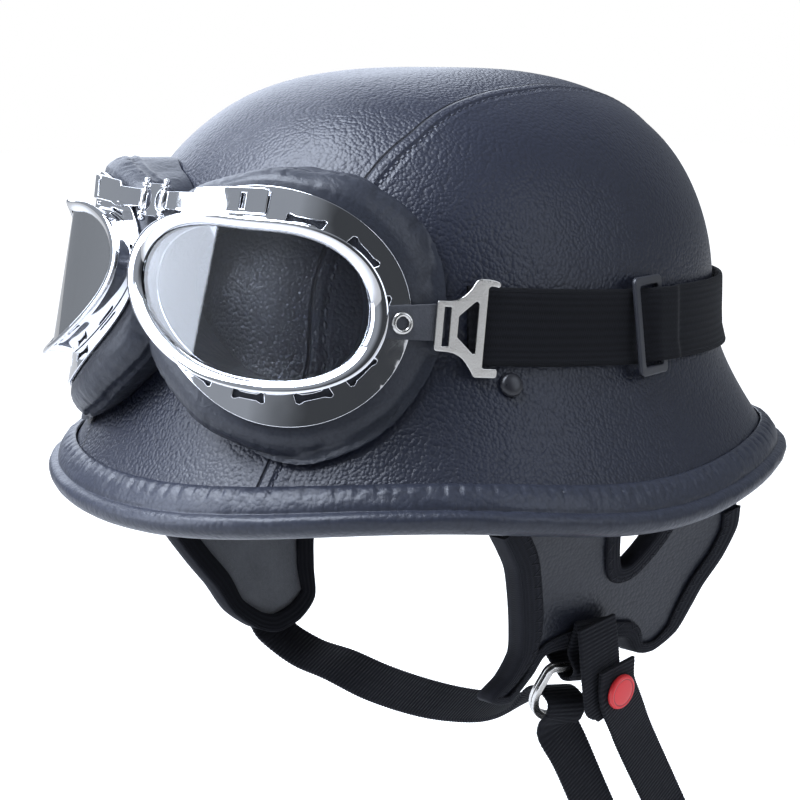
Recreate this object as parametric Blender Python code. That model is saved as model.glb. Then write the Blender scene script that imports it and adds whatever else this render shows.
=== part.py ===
"""Flared leather-covered riding helmet with goggles, ear flaps and a chin strap.

Metres. +Z is up, the brow faces -Y, the wearer's left is +X. The origin is the centre of
the head opening, level with the rim.
"""
import math

import bmesh
import bpy
import numpy as np
from mathutils import Vector
from mathutils.geometry import delaunay_2d_cdt

# Helmet form: half widths and half lengths of the leather's outer face
RIM_HALF_WIDTH = 0.129
RIM_FRONT = 0.1513
RIM_BACK = 0.1519
WAIST_HALF_WIDTH = 0.1038
WAIST_FRONT = 0.1224
WAIST_BACK = 0.1213
WAIST_HEIGHT = 0.0591
CROWN_TOP = 0.1561
RIM_WAVE = 0.0036
REAR_FULLNESS = 0.002
PLAN_POWER = 2.16
CROWN_SIDE_POWER = 2.85
CROWN_RISE_POWER = 2.21
FLARE_POWER = 1.47

# Walls and clearances
GAP = 0.0003
COVER_WALL = 0.0013
SHELL_WALL = 0.004

# Edge trim
TRIM_SHARE = 0.22
TRIM_PROUD = 0.0034
TRIM_WALL = 0.0015
TRIM_CLEARANCE = 0.0005

# Side studs
STUD_RADIUS = 0.0045
STUD_HEIGHT = 0.0024
STUD_ANGLE = math.radians(-28.2)
STUD_LEVEL = 0.0468

# Goggles: frame of the left eyepiece
EYE_ACROSS = 0.05205
EYE_FORWARD = 0.12841
EYE_UP = 0.07762
EYE_YAW = math.radians(33.3)
EYE_PITCH = math.radians(10.5)
EYE_ROLL = math.radians(-8.8)
EYE_BEND = 0.0794
PLATE_WIDTH = 0.0973
PLATE_HEIGHT = 0.0845
PLATE_SHIFT = (0.0027, 0.0016)
PLATE_WALL = 0.001
RING_WIDTH = 0.0843
RING_HEIGHT = 0.0663
RING_SHIFT = (-0.0027, 0.001)
RING_INSET = 0.0022
RING_WALL = 0.002
RING_HEIGHT_OFF_PLATE = 0.011
LENS_WALL = 0.0016
SLOT_WIDTH = 0.0034
SLIT_WIDTH = 0.0009
PAD_OVERHANG = 0.014
PAD_ROLL = 0.010
PAD_SEAT = 0.0009

# Bridge between the eyepieces
PIN_ACROSS = -0.0497
PIN_UP = 0.030
PIN_RADIUS = 0.0009
KNUCKLE_RADIUS = 0.0019
LINK_HEIGHT = 0.0118
LINK_WALL = 0.0009
ARM_KNUCKLE_HEIGHT = 0.0072
ARM_SEAT = 0.0006

# Goggle strap, its hooks and slider
STRAP_WIDTH = 0.028
STRAP_WALL = 0.002
STRAP_SEAT = 0.0008
STRAP_START = math.radians(-36.5)
HOOK_WALL = 0.0012
TAB_WALL = 0.0011
RIVET_RADIUS = 0.004
RIVET_BORE = 0.0022
RIVET_HEIGHT = 0.0011
SLIDER_ANGLE = math.radians(6.5)
SLIDER_LENGTH = 0.022
SLIDER_WALL = 0.0018
SLIDER_BAR = 0.0036
SLIDER_PLAY = 0.0008
SLIDER_EASE = 0.0004

# Ear flaps
FLAP_HALF_WIDTH = 0.106
FLAP_LEAN = 0.35
FLAP_WALL = 0.0014
LINING_WALL = 0.0035
FLAP_TUCK = 0.0003
LINING_SEAT = 0.0005
TAPE_SEAT = 0.0006
TAPE_WIDTH = 0.0075
TAPE_WALL = 0.001

# Chin strap and its fastening
WEBBING_WIDTH = 0.020
WEBBING_WALL = 0.0017
RING_BAR_CENTRE = Vector((0.0860, -0.0007, -0.0690))
RING_BAR_ALONG = Vector((0.056, 0.989, -0.139)).normalized()
RING_HANG = Vector((-0.499, -0.093, -0.862)).normalized()
D_HALF_WIDTH = 0.0155
D_SIDE = 0.010
D_BAND = 0.003
D_WALL = 0.0015
BUTTON_RADIUS = 0.0070
BUTTON_HEIGHT = 0.0024

SEGMENTS = 32
SIDES = {"left": 1, "right": -1}

COLOURS = {
    "leather": ((0.026, 0.028, 0.040), 0.42, 0.0),
    "trim": ((0.018, 0.019, 0.027), 0.38, 0.0),
    "shell": ((0.02, 0.02, 0.022), 0.6, 0.0),
    "pad": ((0.030, 0.032, 0.042), 0.5, 0.0),
    "chrome": ((0.85, 0.86, 0.88), 0.06, 1.0),
    "nickel": ((0.62, 0.60, 0.56), 0.25, 1.0),
    "lens": ((0.92, 0.94, 0.96), 0.05, 0.0),
    "webbing": ((0.012, 0.013, 0.019), 0.85, 0.0),
    "plush": ((0.10, 0.10, 0.105), 0.95, 0.0),
    "suede": ((0.045, 0.045, 0.05), 0.8, 0.0),
    "plastic": ((0.02, 0.02, 0.024), 0.35, 0.0),
    "red": ((0.74, 0.085, 0.095), 0.35, 0.0),
}

for old in list(bpy.data.objects):
    bpy.data.objects.remove(old)


def material(slot):
    """The Principled material of one slot, made once."""
    found = bpy.data.materials.get(slot)
    if found:
        return found
    colour, roughness, metallic = COLOURS[slot]
    made = bpy.data.materials.new(slot)
    made.use_nodes = True
    shader = made.node_tree.nodes["Principled BSDF"]
    shader.inputs["Base Color"].default_value = (*colour, 1)
    shader.inputs["Roughness"].default_value = roughness
    shader.inputs["Metallic"].default_value = metallic
    if slot == "lens":
        shader.inputs["Transmission Weight"].default_value = 1
    return made


def add_object(name, bm, slot, smooth_below=35):
    """Turn a bmesh into a named object whose faces point outwards."""
    bmesh.ops.recalc_face_normals(bm, faces=bm.faces)
    mesh = bpy.data.meshes.new(name)
    bm.to_mesh(mesh)
    bm.free()
    mesh.shade_smooth()
    mesh.set_sharp_from_angle(angle=math.radians(smooth_below))
    mesh.materials.append(material(slot))
    made = bpy.data.objects.new(name, mesh)
    bpy.context.scene.collection.objects.link(made)
    return made


def make_cutter(made):
    """Mark an object as a construction solid that isn't part of the helmet."""
    made.hide_render = True
    made.display_type = "WIRE"
    return made


def boolean(made, cutter, operation):
    step = made.modifiers.new(operation.title(), "BOOLEAN")
    step.object = cutter
    step.operation = operation
    step.solver = "EXACT"


def loft(sections, closed_path=False):
    """Join closed sections of equal count with quads; an open loft gets end caps."""
    bm = bmesh.new()
    rings = [[bm.verts.new(point) for point in section] for section in sections]
    count = len(rings[0])
    spans = len(rings) if closed_path else len(rings) - 1
    for i in range(spans):
        here, there = rings[i], rings[(i + 1) % len(rings)]
        for j in range(count):
            k = (j + 1) % count
            bm.faces.new((here[j], here[k], there[k], there[j]))
    if not closed_path:
        bm.faces.new(rings[0])
        bm.faces.new(rings[-1])
    return bm


def smooth_path(points, steps, closed=False):
    """A Catmull-Rom curve through hand-placed points of any number of columns."""
    rows = [np.array(point, dtype=float) for point in points]
    if closed:
        rows = [rows[-1], *rows, rows[0], rows[1]]
    else:
        rows = [2 * rows[0] - rows[1], *rows, 2 * rows[-1] - rows[-2]]
    path = []
    for before, start, end, after in zip(rows, rows[1:], rows[2:], rows[3:]):
        for i in range(steps):
            t = i / steps
            bend = 2 * before - 5 * start + 4 * end - after
            twist = 3 * (start - end) + after - before
            path.append(start + 0.5 * t * (end - before + t * (bend + t * twist)))
    if not closed:
        path.append(rows[-2])
    return path


def inside(point, polygon):
    """Whether a 2-D point lies in a polygon."""
    x, y = point
    found = False
    for (ax, ay), (bx, by) in zip(polygon, polygon[1:] + polygon[:1]):
        if (ay > y) != (by > y) and x < (bx - ax) * (y - ay) / (by - ay) + ax:
            found = not found
    return found


def clear_of(point, polygon, distance):
    """Whether a 2-D point keeps a distance from a polygon's corners and edges."""
    p = np.array(point)
    for a, b in zip(polygon, polygon[1:] + polygon[:1]):
        a, b = np.array(a), np.array(b)
        share = np.clip((p - a) @ (b - a) / ((b - a) @ (b - a)), 0, 1)
        if np.linalg.norm(p - a - share * (b - a)) < distance:
            return False
    return True


def split_edges(outline, longest):
    """The outline with its long edges cut into equal parts."""
    points = []
    for (au, av), (bu, bv) in zip(outline, outline[1:] + outline[:1]):
        parts = max(1, math.ceil(math.hypot(bu - au, bv - av) / longest))
        points += [(au + (bu - au) * i / parts, av + (bv - av) * i / parts) for i in range(parts)]
    return points


def sheet(outline, holes, front, back, spacing):
    """A bent sheet: a flat outline with holes, filled with a grid and given two faces.

    front and back turn a flat point and its distance from the edge into a 3-D point.
    """
    loops = [[(float(u), float(v)) for u, v in loop] for loop in [outline, *holes]]
    points, edges = [], []
    for loop in loops:
        first = len(points)
        points += loop
        edges += [(first + i, first + (i + 1) % len(loop)) for i in range(len(loop))]
    low = np.min(loops[0], axis=0)
    high = np.max(loops[0], axis=0)
    for u in np.arange(low[0] + spacing / 2, high[0], spacing):
        for v in np.arange(low[1] + spacing / 2, high[1], spacing):
            spot = (float(u), float(v))
            if not inside(spot, loops[0]) or any(inside(spot, hole) for hole in loops[1:]):
                continue
            if all(clear_of(spot, loop, spacing / 2) for loop in loops):
                points.append(spot)
    corners, _, faces, _, _, _ = delaunay_2d_cdt([Vector(p) for p in points], edges, [], 1, 1e-7)
    kept = []
    for face in faces:
        middle = sum((corners[i] for i in face), Vector((0, 0))) / len(face)
        if inside(middle, loops[0]) and not any(inside(middle, hole) for hole in loops[1:]):
            kept.append(face)
    depths = []
    for corner in corners:
        p = np.array(corner)
        depth = 1.0
        for loop in loops:
            for a, b in zip(loop, loop[1:] + loop[:1]):
                a, b = np.array(a), np.array(b)
                share = np.clip((p - a) @ (b - a) / ((b - a) @ (b - a)), 0, 1)
                depth = min(depth, np.linalg.norm(p - a - share * (b - a)))
        depths.append(depth)
    bm = bmesh.new()
    near = [bm.verts.new(front(c[0], c[1], d)) for c, d in zip(corners, depths)]
    far = [bm.verts.new(back(c[0], c[1], d)) for c, d in zip(corners, depths)]
    sides = {}
    for face in kept:
        bm.faces.new([near[i] for i in face])
        bm.faces.new([far[i] for i in reversed(face)])
        for a, b in zip(face, face[1:] + face[:1]):
            sides[(a, b)] = True
    for a, b in sides:
        if (b, a) not in sides:
            bm.faces.new((near[b], near[a], far[a], far[b]))
    loose = [v for v in bm.verts if not v.link_faces]
    bmesh.ops.delete(bm, geom=loose, context="VERTS")
    return bm


def turned(profile, sides, place):
    """A solid turned about its own axis: profile rows are radius and height."""
    bm = bmesh.new()
    rings = []
    for radius, height in profile:
        if radius == 0:
            rings.append([bm.verts.new(place(0, 0, height))])
            continue
        turn = [2 * math.pi * i / sides for i in range(sides)]
        rings.append([bm.verts.new(place(radius * math.cos(a), radius * math.sin(a), height)) for a in turn])
    for low, high in zip(rings, rings[1:]):
        for i in range(sides):
            j = (i + 1) % sides
            if len(low) == 1:
                bm.faces.new((low[0], high[j], high[i]))
            elif len(high) == 1:
                bm.faces.new((low[i], low[j], high[0]))
            else:
                bm.faces.new((low[i], low[j], high[j], high[i]))
    if len(rings[0]) > 1:
        bm.faces.new(rings[0])
    if len(rings[-1]) > 1:
        bm.faces.new(rings[-1])
    return bm


def turned_ring(profile, sides, place):
    """A turned ring with a hole: the closed profile keeps clear of the axis."""
    sections = []
    for i in range(sides):
        a = 2 * math.pi * i / sides
        sections.append([place(r * math.cos(a), r * math.sin(a), h) for r, h in profile])
    return loft(sections, closed_path=True)


def frame_place(origin, across, up, out):
    """A function that places local coordinates in a frame of three unit vectors."""
    return lambda a, b, c: origin + across * a + up * b + out * c


# The helmet's surface


def plan_radius(turn, side, front, back):
    """Radius of the rounded plan outline, brow at -90 degrees."""
    along = front if math.sin(turn) < 0 else back
    across = abs(math.cos(turn)) / side
    ahead = abs(math.sin(turn)) / along
    return (across ** PLAN_POWER + ahead ** PLAN_POWER) ** (-1 / PLAN_POWER)


def rim_height(turn):
    """The rim dips at the sides and rises at the temples."""
    wave = 0.05 * math.sin(turn) + 0.55 * math.cos(2 * turn)
    wave += 0.16 * math.sin(3 * turn) + math.cos(4 * turn)
    return -RIM_WAVE * wave


def helmet_point(turn, level):
    """Outer leather surface: level 1 is the apex, 0 the waist, -1 the rim."""
    waist = plan_radius(turn, WAIST_HALF_WIDTH, WAIST_FRONT, WAIST_BACK)
    if level >= 0:
        lean = (1 - level) * math.pi / 2
        radius = waist * math.sin(lean) ** (2 / CROWN_SIDE_POWER)
        radius += REAR_FULLNESS * max(0.0, math.sin(turn)) * math.sin(2 * lean)
        rise = max(0.0, math.cos(lean)) ** (2 / CROWN_RISE_POWER)
        height = WAIST_HEIGHT + (CROWN_TOP - WAIST_HEIGHT) * rise
    else:
        rim = plan_radius(turn, RIM_HALF_WIDTH, RIM_FRONT, RIM_BACK)
        radius = waist + (rim - waist) * (-level) ** FLARE_POWER
        height = WAIST_HEIGHT + (WAIST_HEIGHT - rim_height(turn)) * level
    return Vector((radius * math.cos(turn), radius * math.sin(turn), height))


def helmet_offset(turn, level, out):
    """A point off the leather surface along its normal."""
    here = helmet_point(turn, level)
    if level >= 1:
        return here + Vector((0, 0, out))
    step = 0.001
    along = helmet_point(turn + step, level) - helmet_point(turn - step, level)
    rising = helmet_point(turn, min(level + step, 0.9999)) - helmet_point(turn, max(level - step, -1))
    return here + along.cross(rising).normalized() * out


def level_at(turn, height):
    """The surface level that lies at a height."""
    if height < WAIST_HEIGHT:
        return -(WAIST_HEIGHT - height) / (WAIST_HEIGHT - rim_height(turn))
    rise = min(1.0, (height - WAIST_HEIGHT) / (CROWN_TOP - WAIST_HEIGHT))
    return 1 - math.acos(rise ** (CROWN_RISE_POWER / 2)) * 2 / math.pi


def seat_on_helmet(point, out):
    """The point moved level and radially until it lies off the leather by out."""
    turn = math.atan2(point[1], point[0])
    level = level_at(turn, point[2])
    surface = helmet_point(turn, level)
    face = (helmet_offset(turn, level, 1.0) - surface).normalized()
    slope = max(0.35, math.hypot(face.x, face.y))
    radius = math.hypot(surface.x, surface.y) + out / slope
    return Vector((radius * math.cos(turn), radius * math.sin(turn), point[2]))


TURNS = [2 * math.pi * i / SEGMENTS for i in range(SEGMENTS)]
CROWN_ROWS = 7
LEVELS = [1 - (i / CROWN_ROWS) ** 1.3 for i in range(1, CROWN_ROWS + 1)]
LEVELS += [-0.26, -0.52, TRIM_SHARE - 1, -1.0]


def dome_wall(outer, inner):
    """A wall between two offsets of the helmet surface, open at the rim."""
    bm = bmesh.new()
    faces = []
    for out in (outer, inner):
        apex = bm.verts.new(helmet_offset(0, 1, out))
        rows = [[bm.verts.new(helmet_offset(turn, level, out)) for turn in TURNS] for level in LEVELS]
        for i in range(SEGMENTS):
            j = (i + 1) % SEGMENTS
            bm.faces.new((apex, rows[0][i], rows[0][j]))
            for high, low in zip(rows, rows[1:]):
                bm.faces.new((high[i], low[i], low[j], high[j]))
        faces.append(rows[-1])
    for i in range(SEGMENTS):
        j = (i + 1) % SEGMENTS
        bm.faces.new((faces[0][i], faces[1][i], faces[1][j], faces[0][j]))
    return bm


# Shell and its three leather panels

COVER_INSIDE = -COVER_WALL
SHELL_OUTSIDE = COVER_INSIDE - GAP
SHELL_INSIDE = SHELL_OUTSIDE - SHELL_WALL
add_object("shell", dome_wall(SHELL_OUTSIDE, SHELL_INSIDE), "shell")

# Seam line seen from above: share of the rim's length, share of the waist's half width
SEAM_ROWS = [
    (-1.25, 0.511), (-0.83, 0.501), (-0.70, 0.515), (-0.58, 0.549), (-0.41, 0.557),
    (-0.14, 0.520), (0.0, 0.501), (0.36, 0.434), (0.73, 0.395), (1.25, 0.385),
]


def seam_half_width(share):
    shares = [row[0] for row in SEAM_ROWS]
    widths = [row[1] for row in SEAM_ROWS]
    return float(np.interp(share, shares, widths)) * WAIST_HALF_WIDTH


def seam_prism(name, low_side, high_side):
    """An upright prism whose two long sides follow the seam lines, or a flat far side."""
    shares = [row[0] for row in SEAM_ROWS]
    plan = [(high_side(share), share * RIM_BACK) for share in shares]
    plan += [(low_side(share), share * RIM_BACK) for share in reversed(shares)]
    bottom, top = -CROWN_TOP, 2 * CROWN_TOP
    return make_cutter(add_object(name, loft([[(x, y, z) for x, y in plan] for z in (bottom, top)]), "leather"))


seam_edge = GAP / 2
far_side = 2 * RIM_HALF_WIDTH
centre_prism = seam_prism(
    "centre_prism",
    lambda share: seam_edge - seam_half_width(share),
    lambda share: seam_half_width(share) - seam_edge,
)
cover_centre = add_object("cover_centre", dome_wall(0, COVER_INSIDE), "leather")
boolean(cover_centre, centre_prism, "INTERSECT")
for side, sign in SIDES.items():
    prism = seam_prism(
        "prism_" + side,
        lambda share: sign * (seam_half_width(share) + seam_edge),
        lambda share: -sign * far_side,
    )
    panel = add_object("cover_" + side, dome_wall(0, COVER_INSIDE), "leather")
    boolean(panel, prism, "DIFFERENCE")

# Edge trim: a padded binding folded round the rim
TRIM_IN = SHELL_INSIDE - TRIM_CLEARANCE


def trim_point(turn, up, out):
    """up runs along the wall from the rim, in shares of the trim's band."""
    rim = helmet_point(turn, -1)
    top = helmet_point(turn, TRIM_SHARE - 1)
    along = helmet_point(turn + 0.001, -1) - helmet_point(turn - 0.001, -1)
    face = along.cross(top - rim).normalized()
    return rim + (top - rim) * up + face * out


# Share of the band's height, share of the padding's height
TRIM_OUTSIDE = [(1.0, 0.38), (0.72, 0.95), (0.36, 0.80), (0.28, 0.70), (0.12, 1.06), (-0.05, 0.80)]
trim_foot = -0.125
trim_profile = [(1.0, TRIM_CLEARANCE)]
trim_profile += [(up, TRIM_PROUD * share) for up, share in TRIM_OUTSIDE]
trim_profile += [
    (trim_foot, 0.0),
    (trim_foot, SHELL_INSIDE),
    (0.0, TRIM_IN - TRIM_WALL),
    (0.45, TRIM_IN - TRIM_WALL),
    (0.45, TRIM_IN),
    (-0.03, TRIM_IN),
    (-0.03, TRIM_CLEARANCE),
]
add_object("edge_trim", loft([[trim_point(t, u, o) for u, o in trim_profile] for t in TURNS], True), "trim", 50)

# Side studs
for side, sign in SIDES.items():
    turn = STUD_ANGLE if sign > 0 else math.pi - STUD_ANGLE
    level = level_at(turn, STUD_LEVEL)
    seat = helmet_offset(turn, level, 1.4 * GAP)
    out = (helmet_offset(turn, level, 1.0) - helmet_point(turn, level)).normalized()
    across = Vector((0, 0, 1)).cross(out).normalized()
    profile = [(STUD_RADIUS * r, STUD_HEIGHT * h) for r, h in [(0.92, 0), (1, 0.2), (0.86, 0.68), (0.5, 0.93), (0, 1)]]
    place = frame_place(seat, across, out.cross(across), out)
    add_object("side_stud_" + side, turned(profile, 12, place), "plastic", 60)

# Goggles


def eye_vectors(sign):
    """Across towards the temple, up, and out of the lens."""
    out = Vector((math.sin(EYE_YAW) * math.cos(EYE_PITCH), -math.cos(EYE_YAW) * math.cos(EYE_PITCH), math.sin(EYE_PITCH)))
    level = Vector((math.cos(EYE_YAW), math.sin(EYE_YAW), 0))
    rise = out.cross(level)
    if rise.z < 0:
        rise = -rise
    across = level * math.cos(EYE_ROLL) + rise * math.sin(EYE_ROLL)
    up = rise * math.cos(EYE_ROLL) - level * math.sin(EYE_ROLL)
    mirror = lambda v: Vector((v.x * sign, v.y, v.z))
    return mirror(across), mirror(up), mirror(out)


def eye_point(sign, across, up, out):
    """A point on or off the bent eyepiece."""
    to_temple, to_top, to_front = eye_vectors(sign)
    centre = Vector((sign * EYE_ACROSS, -EYE_FORWARD, EYE_UP))
    bend = across / EYE_BEND
    radius = EYE_BEND + out
    return centre + to_temple * radius * math.sin(bend) + to_top * up + to_front * (radius * math.cos(bend) - EYE_BEND)


def egg(width, height, shift, shape, turn, grow):
    """An eye-shaped outline: shape holds shares of the second, third and fourth waves."""
    swell = 1.0
    for i, (cosine, sine) in enumerate(shape):
        swell += cosine * math.cos((i + 2) * turn) + sine * math.sin((i + 2) * turn)
    across = (width / 2 + grow) * math.cos(turn) * swell + shift[0]
    up = (height / 2 + grow) * math.sin(turn) * swell + shift[1]
    return across, up


PLATE_SHAPE = [(0.05, -0.05), (-0.02, 0.02), (0.01, 0.0)]
RING_SHAPE = [(0.10, -0.03), (-0.03, 0.04), (-0.01, -0.02)]


def plate_outline(turn, grow=0.0):
    return egg(PLATE_WIDTH, PLATE_HEIGHT, PLATE_SHIFT, PLATE_SHAPE, turn, grow)


def ring_outline(turn, grow=0.0):
    return egg(RING_WIDTH, RING_HEIGHT, RING_SHIFT, RING_SHAPE, turn, grow)


# Vents beside the ring: middle angle, half angle, width, distance of the middle line from the ring
wide, slit = SLOT_WIDTH, SLIT_WIDTH
VENTS = [
    (72.5, 9.5, wide, 0.5), (41, 9, wide, 0.5), (7, 9, wide, 0.5), (333, 9, wide, 0.5),
    (306.5, 8.5, wide, 0.5), (275.5, 8, wide, 0.5), (246, 9, wide, 0.35), (99.5, 7, slit, 0.6),
    (132, 6, slit, -1.0), (167, 9, slit, -1.0), (211, 9, slit, -1.0),
]


def vent_outline(middle, half, width, distance):
    """A round-ended slot that follows the ring."""
    line = distance * width if width == wide else distance * RING_INSET / 2.4
    points = []
    for share, edge in [(-1, 0), (-0.85, -1), (0.85, -1), (1, 0), (0.85, 1), (-0.85, 1)]:
        points.append(ring_outline(math.radians(middle + share * half), line + edge * width / 2))
    return points


RING_LIP = RING_HEIGHT_OFF_PLATE
# Bezel section: inset from the ring outline, height off the plate
RING_SECTION = [
    (RING_INSET, 0.0004),
    (RING_INSET, 0.72 * RING_LIP),
    (0.25 * RING_INSET, 0.95 * RING_LIP),
    (RING_INSET + 0.5 * RING_WALL, RING_LIP),
    (RING_INSET + 1.5 * RING_WALL, 0.80 * RING_LIP),
    (RING_INSET + RING_WALL, 0.74 * RING_LIP),
    (RING_INSET + RING_WALL, 0.0004),
]
LENS_FRONT = 0.74 * RING_LIP - GAP
LENS_INSET = RING_INSET + RING_WALL + GAP

for side, sign in SIDES.items():
    face = lambda out: lambda u, v, depth: eye_point(sign, u, v, out)
    opening = [ring_outline(t, -RING_INSET - RING_WALL) for t in TURNS]
    vents = [vent_outline(*row) for row in VENTS]
    plate = sheet([plate_outline(t) for t in TURNS], [opening, *vents], face(0), face(-PLATE_WALL), 0.011)
    add_object("eye_plate_" + side, plate, "chrome")

    bezel = []
    for t in TURNS:
        bezel.append([eye_point(sign, *ring_outline(t, -inset), height) for inset, height in RING_SECTION])
    add_object("lens_bezel_" + side, loft(bezel, True), "chrome", 50)

    lens_edge = [ring_outline(t, -LENS_INSET) for t in TURNS]
    lens = sheet(lens_edge, [], face(LENS_FRONT), face(LENS_FRONT - LENS_WALL), 0.012)
    add_object("lens_" + side, lens, "lens")

# Goggle cushion: one padded leather ring behind each plate, joined over the nose.
# Overhang beyond the plate for every 30 degrees from the temple, as shares of PAD_OVERHANG
PAD_SHARES = [1.0, 1.0, 0.86, 0.45, 0.4, 0.85, 0.65, 1.15, 1.0, 0.65, 0.65, 0.86]


def pad_overhang(turn):
    angles = [i * math.pi / 6 for i in range(13)]
    return PAD_OVERHANG * float(np.interp(turn % (2 * math.pi), angles, PAD_SHARES + PAD_SHARES[:1]))


PAD_FACE = -PLATE_WALL - 0.0005
PAD_LEAST = 0.0028
PAD_INNER = -0.0035
# Front of the cushion's section: share of the overhang, share of the roll's depth
PAD_FRONT = [(0.30, 0.05), (0.72, 0.38), (1.0, 1.0)]


def pad_section(turn):
    """Cushion section from the eye opening round the roll and back along the leather."""
    over = pad_overhang(turn)
    rim = ring_outline(turn, PAD_INNER)
    points = [eye_point(1, *rim, PAD_FACE), eye_point(1, *plate_outline(turn, -0.001), PAD_FACE)]
    for share, drop in PAD_FRONT:
        points.append(eye_point(1, *plate_outline(turn, share * over), PAD_FACE - drop * PAD_ROLL))
    for i, point in enumerate(points):
        least = seat_on_helmet(point, PAD_LEAST)
        if math.hypot(least.x, least.y) > math.hypot(point.x, point.y):
            points[i] = least
    hem = eye_point(1, *plate_outline(turn, 0.9 * over), PAD_FACE - PAD_ROLL)
    middle = eye_point(1, *plate_outline(turn, 0.2 * over), PAD_FACE - PAD_ROLL)
    for point in (hem, middle, eye_point(1, *rim, PAD_FACE - PAD_ROLL)):
        points.append(seat_on_helmet(point, PAD_SEAT))
    return points


cushion = add_object("goggle_cushion", loft([pad_section(t) for t in TURNS], True), "pad", 60)
mirror = cushion.modifiers.new("Mirror", "MIRROR")
mirror.use_axis = (True, False, False)
mirror.use_bisect_axis = (True, False, False)
mirror.use_clip = True
mirror.merge_threshold = 0.00005

# Bridge: a notched link, two pins and an arm on each plate
lean = (eye_vectors(1)[1] + eye_vectors(-1)[1]).normalized()
ahead = Vector((1, 0, 0)).cross(lean)
arm_height = PLATE_WALL / 2 + ARM_SEAT
pin = {sign: eye_point(sign, PIN_ACROSS, PIN_UP, arm_height) for sign in (1, -1)}
arm_reach = ARM_KNUCKLE_HEIGHT / 2
notch_parts = 8
notch = (math.hypot(arm_reach, KNUCKLE_RADIUS) + GAP) / math.cos(math.pi / 2 / notch_parts)
bore = PIN_RADIUS + GAP


def upright(centre, radius, low, high, sides=8):
    return turned([(radius, low), (radius, high)], sides, frame_place(centre, Vector((1, 0, 0)), ahead, lean))


def joined(meshes):
    """Several bmeshes in one, each its own closed body."""
    together = bmesh.new()
    for bm in meshes:
        scratch = bpy.data.meshes.new("scratch")
        bmesh.ops.recalc_face_normals(bm, faces=bm.faces)
        bm.to_mesh(scratch)
        bm.free()
        together.from_mesh(scratch)
        bpy.data.meshes.remove(scratch)
    return together


pin_x = pin[1].x
end_step = 0.0002
half = LINK_HEIGHT / 2
notch_turns = [math.pi * i / notch_parts for i in range(notch_parts + 1)]
notch_arc = [(pin_x - notch * math.sin(a), notch * math.cos(a)) for a in notch_turns]
link_outline = [(pin_x, half), *notch_arc, (pin_x, -half)]
link_outline += [(-x, -z) for x, z in link_outline]
centre = (pin[1] + pin[-1]) / 2
flat = lambda out: lambda x, z, depth: centre + Vector((1, 0, 0)) * x + lean * z - ahead * out
link = add_object("bridge_link", sheet(link_outline, [], flat(-LINK_WALL / 2), flat(LINK_WALL / 2), 0.05), "chrome")
ear = half - notch - 2 * end_step
knuckles = []
for s in (1, -1):
    for low in (notch + end_step, end_step - half):
        knuckles.append(upright(pin[s], KNUCKLE_RADIUS, low, low + ear))
boolean(link, make_cutter(add_object("link_knuckles", joined(knuckles), "chrome")), "UNION")
bores = [upright(pin[s], bore, -half - 0.001, half + 0.001) for s in (1, -1)]
pin_bores = make_cutter(add_object("pin_bores", joined(bores), "chrome"))
boolean(link, pin_bores, "DIFFERENCE")

# Arm outline on the plate: shares of its reach from the pin, distances up in metres
ARM_OUTLINE = [
    (-0.0485, 0.0272), (-0.032, 0.0272), (-0.0285, 0.0285), (-0.019, 0.0296), (-0.005, 0.0310),
    (-0.0045, 0.0318), (-0.0045, 0.0392), (-0.006, 0.0400), (-0.020, 0.0384), (-0.0335, 0.0364),
    (-0.0345, 0.0345), (-0.0485, 0.0335),
]
ARM_SLIT = [(-0.0145, 0.0315), (-0.0125, 0.0316), (-0.0125, 0.0372), (-0.0145, 0.0370)]
for side, sign in SIDES.items():
    face = lambda out: lambda u, v, depth: eye_point(sign, u, v, out)
    strip = sheet(split_edges(ARM_OUTLINE, 0.007), [ARM_SLIT], face(ARM_SEAT + PLATE_WALL), face(ARM_SEAT), 0.007)
    arm = add_object("bridge_arm_" + side, strip, "chrome")
    knuckle = upright(pin[sign], KNUCKLE_RADIUS, -arm_reach, arm_reach)
    boolean(arm, make_cutter(add_object("arm_knuckle_" + side, knuckle, "chrome")), "UNION")
    boolean(arm, pin_bores, "DIFFERENCE")
    head, tip = KNUCKLE_RADIUS * 0.85, half + GAP
    profile = [(0, -tip - 0.0012), (head, -tip - 0.0006), (head, -tip), (PIN_RADIUS, -tip)]
    profile += [(radius, -height) for radius, height in reversed(profile)]
    place = frame_place(pin[sign], Vector((1, 0, 0)), ahead, lean)
    add_object("hinge_pin_" + side, turned(profile, 8, place), "chrome")

# Goggle strap round the helmet. Turn in degrees from the left side, middle height
STRAP_ROWS = [(-40, 0.0690), (-17, 0.0655), (2, 0.0630), (30, 0.0615), (50, 0.0605), (90, 0.0600)]
slider_half = SLIDER_LENGTH / 2 / WAIST_HALF_WIDTH


def strap_middle(turn):
    folded = min(turn, math.pi - turn)
    angles = [math.radians(row[0]) for row in STRAP_ROWS]
    return float(np.interp(folded, angles, [row[1] for row in STRAP_ROWS]))


def strap_lift(turn):
    """The strap climbs over the slider's rear bar."""
    share = (turn - SLIDER_ANGLE) / slider_half
    return float(np.interp(share, [-0.35, 0.30, 1.12, 1.9], [0, 1, 1, 0])) * (SLIDER_WALL + SLIDER_EASE + 5 * GAP)


def strap_section(turn):
    middle = strap_middle(turn)
    seat = STRAP_SEAT + strap_lift(turn)
    points = []
    for out in (seat, seat + STRAP_WALL):
        heights = [middle - STRAP_WIDTH / 2, middle, middle + STRAP_WIDTH / 2]
        if out > seat:
            heights.reverse()
        points += [helmet_offset(turn, level_at(turn, h), out) for h in heights]
    return points


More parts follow.
